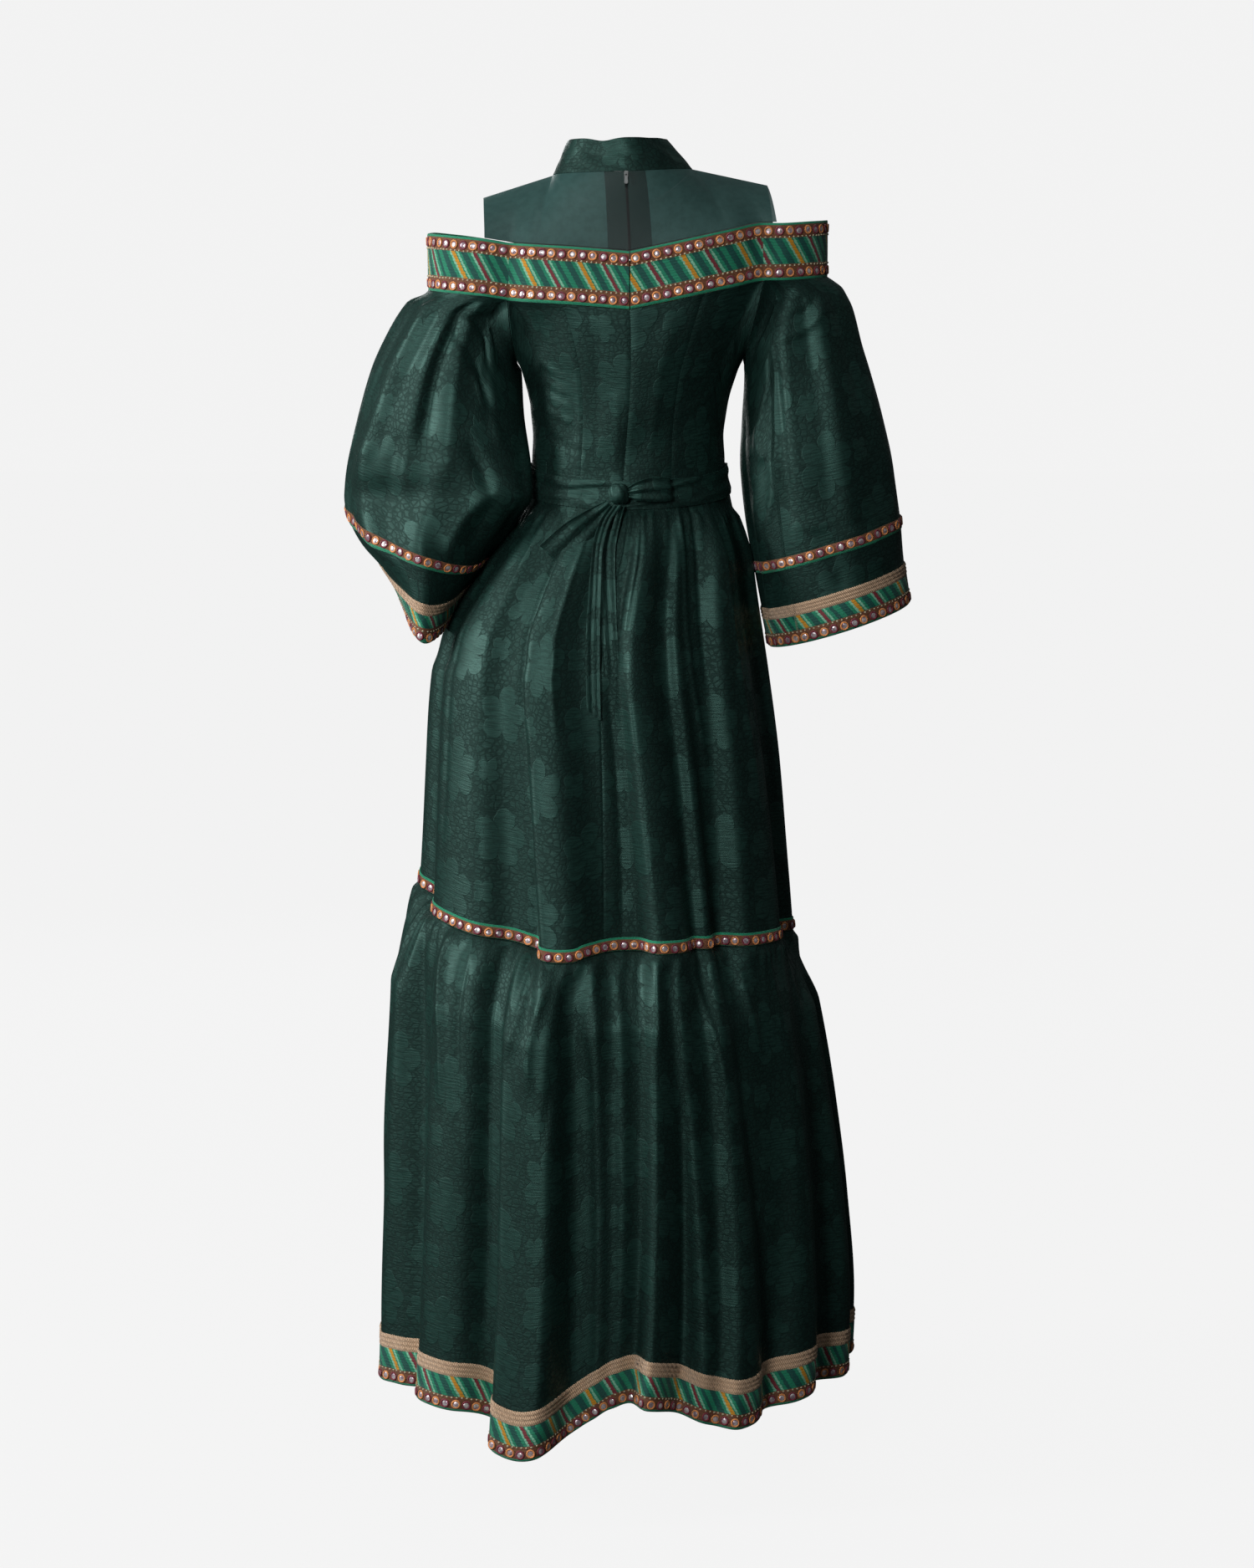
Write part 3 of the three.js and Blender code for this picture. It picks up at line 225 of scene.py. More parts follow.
def shell(name, grid, closed, thick, materials, lift=0.0, roll=0.5, normals=None, shift=(0.0, 0.0)):
    """A closed wall of cloth with its outside on the grid. The edges that are sewn roll inwards a little."""
    n = normals_of(grid, closed) if normals is None else normals
    rows, count = grid.shape[:2]
    u, v = cut_sizes(grid, closed)
    outer = grid + n * lift
    if roll and not closed:
        edge = np.minimum(u[:count], u[count - 1] - u[:count]) / MM
        outer = outer - n * (roll * np.exp(-(edge / 1.3) ** 2))[None, :, None]
    inner = grid + n * (lift - thick)
    verts = np.concatenate([outer.reshape(-1, 3), inner.reshape(-1, 3)])
    index = np.arange(rows * count).reshape(rows, count)
    over = np.concatenate([index, index[:, :1]], 1) if closed else index
    a, b, c, d = over[:-1, :-1], over[1:, :-1], over[1:, 1:], over[:-1, 1:]
    under = rows * count
    quads = [np.stack([a, b, c, d], -1).reshape(-1, 4), np.stack([a, d, c, b], -1).reshape(-1, 4) + under]
    head, foot = over[0], over[-1]
    quads.append(np.stack([head[:-1], head[1:], head[1:] + under, head[:-1] + under], -1))
    quads.append(np.stack([foot[:-1], foot[:-1] + under, foot[1:] + under, foot[1:]], -1))
    if not closed:
        first, last = index[:, 0], index[:, -1]
        quads.append(np.stack([first[:-1], first[:-1] + under, first[1:] + under, first[1:]], -1))
        quads.append(np.stack([last[:-1], last[1:], last[1:] + under, last[:-1] + under], -1))
    rim = np.zeros((rows, count), int)
    rim[0] = rim[-1] = 1
    if not closed:
        rim[:, 0] = rim[:, -1] = 1
    sharp = np.concatenate([rim.ravel(), rim.ravel() * 2])
    uv = np.stack(np.broadcast_arrays(u[:count][None, :] + shift[0], -v[:, None] + shift[1]), -1).reshape(-1, 2)
    ob = new_mesh(name, verts, [np.concatenate(quads)], np.concatenate([uv, uv]), materials, sharp=sharp)
    FLAT[name] = (float(u[-1]), float(v[-1]))
    return ob


def stations(spans, crowd=0.0):
    """Shares from 0 to 1, closer together near both ends by as much as crowd says."""
    t = np.linspace(0, 1, spans + 1)
    return t - crowd * np.sin(2 * np.pi * t) / (2 * np.pi)


# The tables of the solids
ZIP_LINE = table("z x", (40, 4), (0, 2), (-90, -3), (-160, -6), (-250, -3), (-341, 4))
RIBBON = {
    "left": table(
        "share x y z flare",
        (0, -3, 98, -90, 4), (0.1, 58, 95, -85, 4), (0.2, 106, 86, -82, 3), (0.26, 132, 74, -80, 2),
        (0.33, 159, 74, -76, 4), (0.41, 196, 62, -72, 4), (0.49, 221, 30, -69, 1), (0.55, 227, 2, -68, -1),
        (0.62, 219, -30, -66, 1), (0.69, 192, -58, -68, 3), (0.76, 150, -72, -74, 2), (0.83, 118, -97, -80, 4),
        (0.92, 62, -117, -89, 6), (1, 0, -123, -96, 7)),
    "right": table(
        "share x y z flare",
        (0, -3, 98, -90, 4), (0.1, -64, 95, -77, 4), (0.2, -118, 84, -65, 3), (0.28, -152, 67, -58, 2),
        (0.35, -172, 67, -58, 4), (0.42, -202, 54, -56, 4), (0.49, -223, 26, -54, 2), (0.55, -228, 0, -53, 0),
        (0.62, -220, -30, -53, 1), (0.69, -195, -56, -55, 3), (0.76, -154, -70, -62, 2), (0.83, -118, -97, -72, 4),
        (0.92, -62, -117, -87, 6), (1, 0, -123, -96, 7)),
}
CREASE = {"left": (0.26, 0.76), "right": (0.28, 0.76)}
UNDERARM = {"left": (124, -2, -214), "right": (-131, -2, -212)}
BODICE = table(
    "z left right back front cup", (-100, 150, -152, 100, -118, 2), (-150, 136, -145, 103, -123, 7),
    (-200, 121, -133, 100, -121, 10), (-250, 112, -117, 92, -110, 5), (-300, 108, -111, 83, -97, 0),
    (-328, 109, -112, 80, -92, 0), (-345, 111, -114, 79, -91, 0), (-377, 117, -119, 81, -92, 0))
CUP_FROM, CUP_WIDTH = 30, 22
NECK = table("degrees z top", (90, -1, 37), (180, 4, 37), (270, -38, 4), (360, -3, 36), (450, -1, 37))
NECK_OVAL = table("z left right back front", (0, 84, -74, 65, -60), (COLLAR_HEIGHT, 67, -46, 59, -53))
SHOULDER_TIP = {"left": (163, -28), "right": (-159, -14)}
YOKE_CORNER = {"left": (0.33, 0.735), "right": (0.335, 0.735)}
YOKE_BEND = (0.5, 0.62, 0.28)
FACING_DEGREES, FACING_SHARE, COLLAR_OPENING, ZIP_FADES = 18, 0.042, -0.15, 40
SLEEVE = {
    "right": table(
        "z x y wide deep turn", (-134, -197, 2, 50, 62, 0), (-153, -200, 3, 57, 67, 0), (-191, -202, 4, 66, 72, 0),
        (-220, -206, 5, 71, 75, 0), (-277, -212, 7, 81, 78, 0), (-334, -218, 8, 88, 80, 0), (-391, -225, 6, 89, 80, 0),
        (-449, -233, 2, 87, 79, 0), (-540, -249, -4, 84, 78, 0)),
    "left": table(
        "z x y wide deep turn", (-134, 183, 2, 52, 62, 0), (-153, 190, 4, 61, 67, 0), (-191, 200, 7, 74, 71, -4),
        (-220, 206, 9, 82, 73, -8), (-277, 212, 13, 96, 72, -14), (-334, 215, 17, 112, 66, -21),
        (-363, 216, 20, 117, 58, -24), (-391, 222, 14, 101, 68, -20), (-420, 224, 3, 80, 86, -13),
        (-449, 222, -12, 57, 101, -6), (-478, 224, -26, 38, 113, -3), (-507, 226, -37, 24, 122, -2),
        (-540, 227, -43, 18, 126, -2)),
}
# Height at a place, and how the hem rises outwards and forwards
CUFF = {"right": (-4, -512, 0.3, 0.05), "left": (80, -528, 0.38, 0.3)}
SKIRT = table(
    "z left right back front",
    (-341, 110, -113, 79, -90), (-375, 117, -120, 81, -94), (-420, 138, -131, 104, -108),
    (-480, 178, -142, 128, -124), (-520, 202, -149, 138, -131), (-545, 209, -153, 142, -135),
    (-565, 216, -156, 146, -138),
    (-680, 226, -171, 158, -150), (-800, 233, -181, 170, -161), (-872, 238, -186, 178, -168))
FLOUNCE_SEAM = table(
    "degrees z", (0, -808), (18, -828), (60, -859), (78, -872), (95, -866), (180, -868), (270, -871), (315, -858),
    (345, -826), (360, -808))
FLOUNCE = table(
    "z left right back front", (-808, 252, -190, 186, -176), (-888, 260, -197, 200, -189), (-948, 266, -212, 211, -200),
    (-1067, 277, -234, 225, -213), (-1188, 284, -250, 237, -224), (-1309, 290, -258, 247, -234),
    (-1400, 292, -254, 253, -241))
HEM = table(
    "degrees z",
    (0, -1377), (28, -1376), (53, -1384), (71, -1419), (95, -1368), (121, -1397), (146, -1384), (180, -1390),
    (225, -1388), (252, -1400), (306, -1392), (360, -1377))

# Folds of the skirt: left and right edge at the head, the same at the foot, softness of each edge, heights
SKIRT_FOLDS = [
    (0, 12, -4, 10, 4, 4, 4, 9), (20, 48, 24, 55, 5, 4, 5, 12), (59, 74, 71, 86, 1.4, 5, 5, 15),
    (93.5, 104, 103.5, 117, 1.2, 4, 6, 14), (113, 116, 121, 126, 1.8, 3, 4, 9), (132, 150, 133, 160, 2.5, 6, 5, 12),
    (166, 176, 172, 184, 3, 4, 4, 9), (196, 214, 194, 214, 4, 3, 5, 12), (224, 232, 228, 240, 1.6, 4, 6, 13),
    (246, 262, 250, 268, 4, 2, 5, 12), (274, 282, 278, 286, 2, 4, 5, 11), (294, 312, 296, 316, 3, 5, 6, 13),
    (324, 332, 326, 338, 2, 3, 5, 12), (342, 350, 344, 351, 3, 2, 4, 8),
]
# Small folds that fade: start place and share, end place and share, bow, width, height
SKIRT_CREASES = [
    (70, 0.0, 76, 0.5, 0, 1.2, 2.6), (82, 0.0, 86, 0.34, 1, 1.3, 3.0), (97, 0.02, 99, 0.75, 0, 1.0, -3.0),
    (118, 0.02, 128, 0.6, 0, 1.4, 3.2), (126, 0.0, 131, 0.42, 0, 1.3, -3.0), (139, 0.02, 146, 0.7, 0, 1.6, 2.4),
    (57, 0.05, 64, 0.55, 0, 1.2, -3.2), (44, 0.04, 49, 0.5, 0, 1.6, 2.2), (30, 0.1, 33, 0.8, 1, 1.4, -1.6),
    (66, 0.5, 68, 1.0, 0, 1.5, -3.6), (93, 0.4, 96, 1.0, 1, 2.2, -3.0), (208, 0.02, 205, 0.6, 0, 1.6, 2.6),
    (238, 0.02, 242, 0.7, 0, 1.4, -3.0), (255, 0.1, 257, 0.8, 1, 1.6, 2.2), (288, 0.02, 290, 0.7, 0, 1.5, -3.0),
    (303, 0.1, 306, 0.9, -1, 1.8, 2.6), (318, 0.02, 320, 0.6, 0, 1.3, -2.6), (186, 0.04, 188, 0.7, 0, 1.4, -2.4),
]
FLOUNCE_FOLDS = [
    (8, 28, 12, 34, 5, 3, 8, 19), (21, 26, 22, 27, 2, 2, 4, 5), (39, 55, 38, 55, 2.6, 4, 9, 25),
    (64, 79.8, 63, 77, 1.2, 1.5, 13, 37), (87, 90, 85, 87, 1.2, 1.5, 4, 4), (94.5, 97, 90, 92, 1.2, 1.6, 3, 4),
    (102.5, 107, 96.5, 103, 0.9, 4, 9, 19), (109.7, 112, 110, 117, 1.6, 4, 6, 16), (121, 125, 117, 129, 2, 4, 5, 21),
    (147, 153, 136, 150, 3.5, 4, 4, 17), (162, 170, 162, 176, 3, 3, 6, 18), (183, 192, 186, 202, 2, 4, 7, 24),
    (206, 214, 212, 222, 3, 2, 6, 16), (226, 240, 230, 246, 4, 1.8, 8, 26), (252, 258, 254, 262, 1.4, 3, 6, 16),
    (268, 282, 270, 286, 4, 2, 8, 24), (296, 304, 296, 306, 2, 3, 6, 16), (312, 328, 314, 332, 1.8, 4, 8, 25),
    (340, 350, 341, 352, 3, 2, 6, 17),
]
FLOUNCE_CREASES = [
    (40, 0.0, 46, 0.35, 1, 1.4, 4.0), (50, 0.0, 52, 0.42, -1, 1.3, -4.0), (58.5, 0.02, 56, 0.9, 0, 2.2, -7.0),
    (70, 0.0, 66, 0.2, 1, 1.3, 4.0), (77, 0.02, 72, 0.26, -2, 1.4, 5.0), (81, 0.02, 75.5, 0.36, 0, 1.2, -3.0),
    (105, 0.0, 104, 0.2, 0, 1.0, 3.0), (117, 0.0, 122, 0.3, 0, 1.2, 3.6), (132, 0.0, 136, 0.24, 0, 1.4, 3.0),
    (30, 0.1, 33, 0.8, 0, 2.2, -5.0), (15, 0.0, 17, 0.6, 0, 1.6, 3.0), (110, 0.3, 107, 1.0, 0, 1.8, -5.0),
    (128, 0.2, 131, 1.0, 0, 2.4, -4.0), (220, 0.05, 226, 0.9, 0, 2.2, -5.0), (262, 0.0, 265, 0.8, 0, 2.0, -5.0),
    (246, 0.0, 250, 0.5, 0, 1.5, 3.4), (290, 0.0, 291, 0.8, 0, 2.2, -5.0), (308, 0.0, 309, 0.7, 0, 2.0, -4.0),
    (320, 0.0, 323, 0.5, 0, 1.5, 3.6), (200, 0.0, 204, 0.5, 0, 1.5, 3.4), (334, 0.0, 336, 0.8, 0, 2.0, -4.0),
]
# Sleeves, in directions round each sleeve and shares of the way from the ribbon to the hem
SLEEVE_CREASES = {
    "left": [
        (92, 0.0, 93, 0.44, -1, 6, -7.5), (84, 0.06, 80, 0.66, 2, 7, 5.0), (104, 0.02, 108, 0.5, 3, 8, 4.5),
        (97, 0.03, 134, 0.19, 12, 5, -3.6), (100, 0.06, 142, 0.25, 14, 5, 3.4), (96, 0.1, 138, 0.31, 12, 5, -3.6),
        (103, 0.17, 146, 0.36, 12, 6, 3.0), (112, 0.0, 138, 0.13, 8, 4, 2.8), (68, 0.0, 60, 0.5, 4, 8, -3.0),
        (54, 0.0, 44, 0.6, 3, 7, 3.0), (36, 0.0, 25, 0.5, 3, 7, -3.0), (126, 0.42, 140, 0.7, 6, 8, -5.0),
        (142, 0.5, 122, 0.78, -6, 7, 5.0), (110, 0.45, 98, 0.8, -4, 8, 4.0), (76, 0.4, 70, 0.78, 2, 8, -4.0),
        (50, 0.44, 52, 0.8, 4, 9, 4.5), (28, 0.5, 36, 0.76, -4, 8, -4.0), (8, 0.0, -2, 0.6, 4, 7, 2.8),
        (-20, 0.0, -28, 0.6, 5, 8, -3.2), (-48, 0.02, -52, 0.6, 3, 8, 3.6), (-76, 0.0, -72, 0.5, -3, 6, -4.0),
        (-100, 0.04, -92, 0.7, -4, 8, 4.0), (-118, 0.1, -128, 0.7, 0, 8, -3.4), (-60, 0.5, -40, 0.82, 6, 9, -4.0),
        (-20, 0.5, -8, 0.8, 0, 8, 4.0), (-90, 0.55, -76, 0.82, 0, 7, 4.0), (168, 0.3, 172, 0.8, 0, 8, -3.4),
    ],
    "right": [
        (48, 0.16, 40, 0.3, 7, 5, 4.0), (40, 0.3, 52, 0.46, -6, 5, 4.4), (52, 0.46, 42, 0.62, 5, 5, 3.6),
        (43, 0.6, 50, 0.8, -3, 5, 3.0), (56, 0.2, 62, 0.7, 3, 5, -4.4), (68, 0.08, 72, 0.62, -2, 8, 5.0),
        (88, 0.05, 92, 0.7, 3, 10, -3.0), (106, 0.04, 108, 0.8, 0, 10, 2.6), (62, 0.06, 92, 0.02, 8, 5, 2.6),
        (58, 0.12, 104, 0.04, 10, 6, -2.6), (60, 0.17, 112, 0.07, 10, 6, 2.4), (128, 0.0, 132, 0.7, 2, 9, -2.6),
        (150, 0.0, 152, 0.8, 3, 9, 2.6), (176, 0.0, 172, 0.7, 2, 9, -2.8), (198, 0.0, 200, 0.8, -3, 9, 3.0),
        (222, 0.0, 220, 0.7, 3, 9, -3.2), (246, 0.02, 250, 0.7, 0, 8, 3.6), (270, 0.02, 268, 0.7, -4, 7, -3.6),
        (296, 0.05, 300, 0.8, 3, 8, 4.0), (322, 0.1, 326, 0.8, 0, 8, -3.0), (12, 0.2, 16, 0.9, 3, 8, -3.4),
        (32, 0.5, 28, 0.95, 0, 7, 3.4), (80, 0.7, 96, 0.9, 4, 9, -2.8), (110, 0.72, 128, 0.86, 6, 9, 2.6),
    ],
}
# Bodice, in the directions and shares of its own grid
BODICE_CREASES = [
    (150, 0.25, 128, 0.36, 3, 4, 1.5), (152, 0.4, 122, 0.52, 3, 4, -1.3), (148, 0.56, 118, 0.66, 3, 4, 1.4),
    (146, 0.72, 112, 0.8, 2, 4, -1.2), (30, 0.3, 50, 0.42, -3, 4, 1.8), (28, 0.46, 56, 0.56, -3, 4, -1.6),
    (34, 0.62, 64, 0.7, -3, 4, 1.6), (38, 0.78, 66, 0.86, -2, 4, -1.5), (58, 0.05, 60, 0.9, 2, 3, 1.5),
    (74, 0.1, 72, 0.95, -1, 4, -1.4), (82, 0.5, 84, 1.0, 1, 3, 1.1), (106, 0.1, 104, 0.9, 1, 4, 1.2),
    (46, 0.0, 40, 0.3, 2, 3, -1.6), (220, 0.3, 244, 0.4, 3, 4, 1.5), (318, 0.3, 296, 0.42, -3, 4, 1.5),
    (214, 0.6, 244, 0.68, 3, 4, -1.4), (324, 0.62, 296, 0.7, -3, 4, -1.4), (258, 0.75, 252, 1.0, 0, 3, 1.2),
    (284, 0.7, 288, 1.0, 0, 3, 1.2),
]


def zip_at(z):
    return read(ZIP_LINE, "z", "x", z)


def waist_lift(degrees):
    return WAIST_LIFT * (1 - np.maximum(0, np.sin(np.radians(degrees))))


# The ribbon's head and foot, in columns from the middle of the back round by the right arm
def ribbon_stretch(side, first, last, spans):
    share = np.linspace(first, last, spans + 1)
    return [(side, s) for s in share]


def ribbon_line(spans_back, spans_arm, spans_front):
    right, left = CREASE["right"], CREASE["left"]
    parts = [
        ribbon_stretch("right", 0, right[0], spans_back), ribbon_stretch("right", right[0], right[1], spans_arm),
        ribbon_stretch("right", right[1], 1, spans_front), ribbon_stretch("left", 1, left[1], spans_front),
        ribbon_stretch("left", left[1], left[0], spans_arm), ribbon_stretch("left", left[0], 0, spans_back),
    ]
    head, flare, marks = [], [], [0]
    for part in parts:
        for side, share in part[:-1]:
            rows = RIBBON[side]
            head.append([float(read(rows, "share", c, share)) for c in "xyz"])
            flare.append(float(read(rows, "share", "flare", share)))
        marks.append(len(head))
    head = np.array(head)
    reach = max(1, spans_back // 6)
    along = np.roll(head, -reach, 0) - np.roll(head, reach, 0)
    out = np.stack([along[:, 1], -along[:, 0], np.zeros(len(head))], -1)
    out /= np.linalg.norm(out, axis=1, keepdims=True)
    foot = head + out * np.array(flare)[:, None] - (0, 0, RIBBON_HEIGHT)
    return head, foot, marks


BACK_N, ARM_N, FRONT_N, HOLE_N = 36, 90, 36, 42
ribbon_head, ribbon_foot, MARK = ribbon_line(BACK_N, ARM_N, FRONT_N)


def ring(line, first, last):
    return line[np.arange(first, last + 1) % len(line)]


def armhole(start, end, under):
    """The seam from the ribbon's foot down round the underarm and up again."""
    t = np.linspace(0, 1, HOLE_N + 1)[:-1]
    low, turn = np.sin(np.pi * t), np.cos(np.pi * t)
    return point(
        lerp(lerp(start[0], end[0], t), under[0], low ** 0.8),
        lerp(under[1], np.where(turn > 0, start[1], end[1]), np.abs(turn)),
        lerp(lerp(start[2], end[2], t), under[2], low ** 0.75))


hole_right = armhole(ribbon_foot[MARK[1]], ribbon_foot[MARK[2]], UNDERARM["right"])
hole_left = armhole(ribbon_foot[MARK[4]], ribbon_foot[MARK[5]], UNDERARM["left"])


# Bodice
def bodice_point(degrees, z):
    """A place on the bodice, with the bust at the front and the zip's line behind."""
    p = oval(BODICE, z, degrees)
    turned = degrees % 360
    away = (np.abs(turned - 270) - CUP_FROM) / CUP_WIDTH
    p[..., 1] -= read(BODICE, "z", "cup", z) * np.exp(-away * away)
    near = np.maximum(0, 1 - np.abs(turned - 90) / (90 - BODICE_SIDE))
    middle = (read(BODICE, "z", "left", z) + read(BODICE, "z", "right", z)) / 2
    p[..., 0] += (zip_at(z) - middle) * near
    return p


bodice_top = np.concatenate([
    ribbon_foot[:MARK[1]], hole_right, ribbon_foot[MARK[2]:MARK[4]], hole_left, ribbon_foot[MARK[5]:]])
bodice_top = bodice_top - (0, 0, 2 * SEAM)
S = BODICE_SIDE
bodice_degrees = np.concatenate([
    np.linspace(90, 180 - S, BACK_N + 1)[:-1], np.linspace(180 - S, 180 + S, HOLE_N + 1)[:-1],
    np.linspace(180 + S, 360 - S, 2 * FRONT_N + 1)[:-1], np.linspace(360 - S, 360 + S, HOLE_N + 1)[:-1],
    np.linspace(360 + S, 450, BACK_N + 1)[:-1]])


def bodice_grid():
    share = stations(46)[:, None]
    turn = bodice_degrees[None, :]
    high = bodice_top[None, :, 2]
    down = lerp(high, SASH_TOP + waist_lift(turn), share)
    grid = bodice_point(turn, down)
    edge = bodice_top[None] - bodice_point(turn, high)
    grid = grid + edge * (1 - settle(share, 0.4))[..., None]
    tuck = np.linspace(0.25, 1, 4)[:, None]
    foot = lerp(SASH_TOP + waist_lift(turn), WAIST_SEAM + waist_lift(turn), tuck)
    grid = np.concatenate([grid, bodice_point(turn, foot)])
    share = np.concatenate([share[:, 0], np.ones(4)])[:, None]
    n = normals_of(grid, True)
    rise = creases(BODICE_CREASES, turn, share) + waves(3, turn, share, 0.5, 9, 3)
    return grid + n * (rise * step(share * 8) * step((1 - share) * 12))[..., None]


# Skirt
def skirt_point(degrees, z):
    fall = np.clip((SASH_FOOT - z) / (SASH_FOOT - SKIRT_LOWEST), 0, 1)
    p = oval(SKIRT, z, degrees)
    out = point(np.cos(np.radians(degrees)), np.sin(np.radians(degrees)), 0)
    rise = SKIRT_FOLDS_OUT * folds(SKIRT_FOLDS, degrees, fall) * np.minimum(1, fall * 9) ** 0.8
    rise = rise - SKIRT_DRAWN_IN * fall
    rise = rise + creases(SKIRT_CREASES, degrees, fall)
    rise = rise + gathers(11, 0, 360, 5.2, 3.4, 0.2, degrees % 360, fall) * step(fall * 60)
    rise = rise + waves(5, degrees, fall, 0.5, 12, 2)
    return p + out * rise[..., None]


def seam_at(degrees):
    """Height of the flounce's seam, which steps down over one fold behind."""
    turned = degrees % 360
    hitch = 0.5 * (np.tanh((turned - 71) / 0.8) - np.tanh((turned - 83) / 0.8))
    return read(FLOUNCE_SEAM, "degrees", "z", turned) - 3.0 * hitch


def skirt_grid(first, last, columns, rows):
    turn = lerp(first, last, stations(columns, 0.55))[None, :]
    low = seam_at(turn) + SEAM
    head = WAIST_SEAM - SEAM + waist_lift(turn)
    share = (stations(rows) ** 1.25)[:, None]
    return skirt_point(turn, lerp(head, low, share))


# Flounce
def flounce_point(degrees, z, share):
    p = oval(FLOUNCE, z, degrees)
    out = point(np.cos(np.radians(degrees)), np.sin(np.radians(degrees)), 0)
    rise = FLOUNCE_FOLDS_OUT * folds(FLOUNCE_FOLDS, degrees, share) - FLOUNCE_DRAWN_IN * share
    rise = rise + creases(FLOUNCE_CREASES, degrees, share) * step(share * 12)
    rise = rise + gathers(23, 0, 360, 3.6, 7.0, 0.17, degrees % 360, share)
    rise = rise + waves(8, degrees, share, 0.7, 14, 2)
    return p + out * rise[..., None]


def hem_at(degrees):
    return read(HEM, "degrees", "z", degrees % 360)


def flounce_at(degrees, z):
    seam, hem = seam_at(degrees), hem_at(degrees)
    share = np.clip((seam - z) / (seam - hem), 0, 1)
    p = flounce_point(degrees, z, share)
    edge = skirt_point(degrees, seam) - flounce_point(degrees, seam, np.zeros_like(share))
    down = np.clip((seam - z) / (seam - hem - HEM_RIBBON - HEM_BRAID), 0, 1)
    return p + edge * (1 - settle(down, 0.18))[..., None]


def flounce_grid(first, last, columns, rows):
    turn = lerp(first, last, stations(columns, 0.4))[None, :]
    share = (stations(rows) ** 1.5)[:, None]
    return flounce_at(turn, lerp(seam_at(turn), hem_at(turn), share))


# Sleeves
SLEEVE_SEEDS = {"left": (9, 31), "right": (10, 37)}
# Heights above the hem of the grid's last rows, from the head of the tape down
SLEEVE_RISES = np.concatenate([
    np.linspace(SLEEVE_TAPE[1], SLEEVE_TAPE[0], 5), np.linspace(SLEEVE_TAPE[0], 0, 22)[1:]])


def sleeve_point(rows, degrees, z):
    value = {c: read(rows, "z", c, z) for c in ("x", "y", "wide", "deep", "turn")}
    turn = np.radians(value["turn"])
    wide, deep = value["wide"] * np.cos(np.radians(degrees)), value["deep"] * np.sin(np.radians(degrees))
    return point(value["x"] + wide * np.cos(turn) - deep * np.sin(turn),
                 value["y"] + wide * np.sin(turn) + deep * np.cos(turn), z)


def sleeve_frame(side):
    """A sleeve's table, its head, its directions, and the height of each direction so far above the hem."""
    right = side == "right"
    sign = -1 if right else 1
    rows = SLEEVE[side]
    arm = ring(ribbon_foot, MARK[1], MARK[2])[:-1] if right else ring(ribbon_foot, MARK[4], MARK[5])[:-1]
    hole = hole_right if right else hole_left
    start_foot = ribbon_foot[MARK[2]] if right else ribbon_foot[MARK[5] % len(ribbon_foot)]
    under = np.concatenate([start_foot[None], hole[1:][::-1]])
    top = np.concatenate([arm - (0, 0, 2 * SEAM), under + (sign * 4 * SEAM, 0, -2 * SEAM)])
    top[0, 0] += sign * 3 * SEAM
    start = 180 - ARM_DEGREES / 2 if right else -ARM_DEGREES / 2
    degrees = np.concatenate([
        np.linspace(start, start + ARM_DEGREES, ARM_N + 1)[:-1],
        np.linspace(start + ARM_DEGREES, start + 360, HOLE_N + 1)[:-1]])
    y, z, outwards, forwards = CUFF[side]

    def slant(rise):
        p = sleeve_point(rows, degrees, z + rise + 0 * degrees)
        away = (p[:, 0] - read(rows, "z", "x", z + rise)) * sign
        return p[:, 2] + outwards * away + forwards * (y - p[:, 1])

    return rows, top, degrees, slant


def sleeve_grid(side):
    rows, top, degrees, slant = sleeve_frame(side)
    turn = degrees[None, :]
    tape = slant(SLEEVE_TAPE[1])
    share = (stations(70) ** 1.15)[:, None]
    z = lerp(top[None, :, 2], tape[None], share)
    grid = sleeve_point(rows, turn, z)
    edge = top[None] - sleeve_point(rows, turn, top[None, :, 2] + 0 * share[:1])
    grid = grid + edge * (1 - settle(share, 0.06))[..., None]
    low = np.stack([sleeve_point(rows, degrees, slant(r)) for r in SLEEVE_RISES[1:]])
    grid = np.concatenate([grid, low])
    hem = slant(0)[None]
    down = np.clip((top[None, :, 2] - grid[..., 2]) / (top[None, :, 2] - hem), 0, 1)
    wave_seed, gather_seed = SLEEVE_SEEDS[side]
    rise = creases(SLEEVE_CREASES[side], turn, down) + waves(wave_seed, turn, down, 0.8, 7, 2)
    rise = rise + gathers(gather_seed, -180, 400, 9, 1.8, 0.1, turn, down)
    rise = rise * step(down * 26) * step((1 - down) * 5 + 0.15)
    grid = grid + normals_of(grid, True) * rise[..., None]
    grid[0, :, 2] += SLEEVE_UNDER_RIBBON
    return grid


def sleeve_line(grid, rise):
    """The line round a sleeve's grid that is so far above the hem."""
    rows = grid[-len(SLEEVE_RISES):]
    k = int(np.clip(np.searchsorted(-SLEEVE_RISES, -rise), 1, len(SLEEVE_RISES) - 1))
    t = (SLEEVE_RISES[k - 1] - rise) / (SLEEVE_RISES[k - 1] - SLEEVE_RISES[k])
    return lerp(rows[k - 1], rows[k], t)


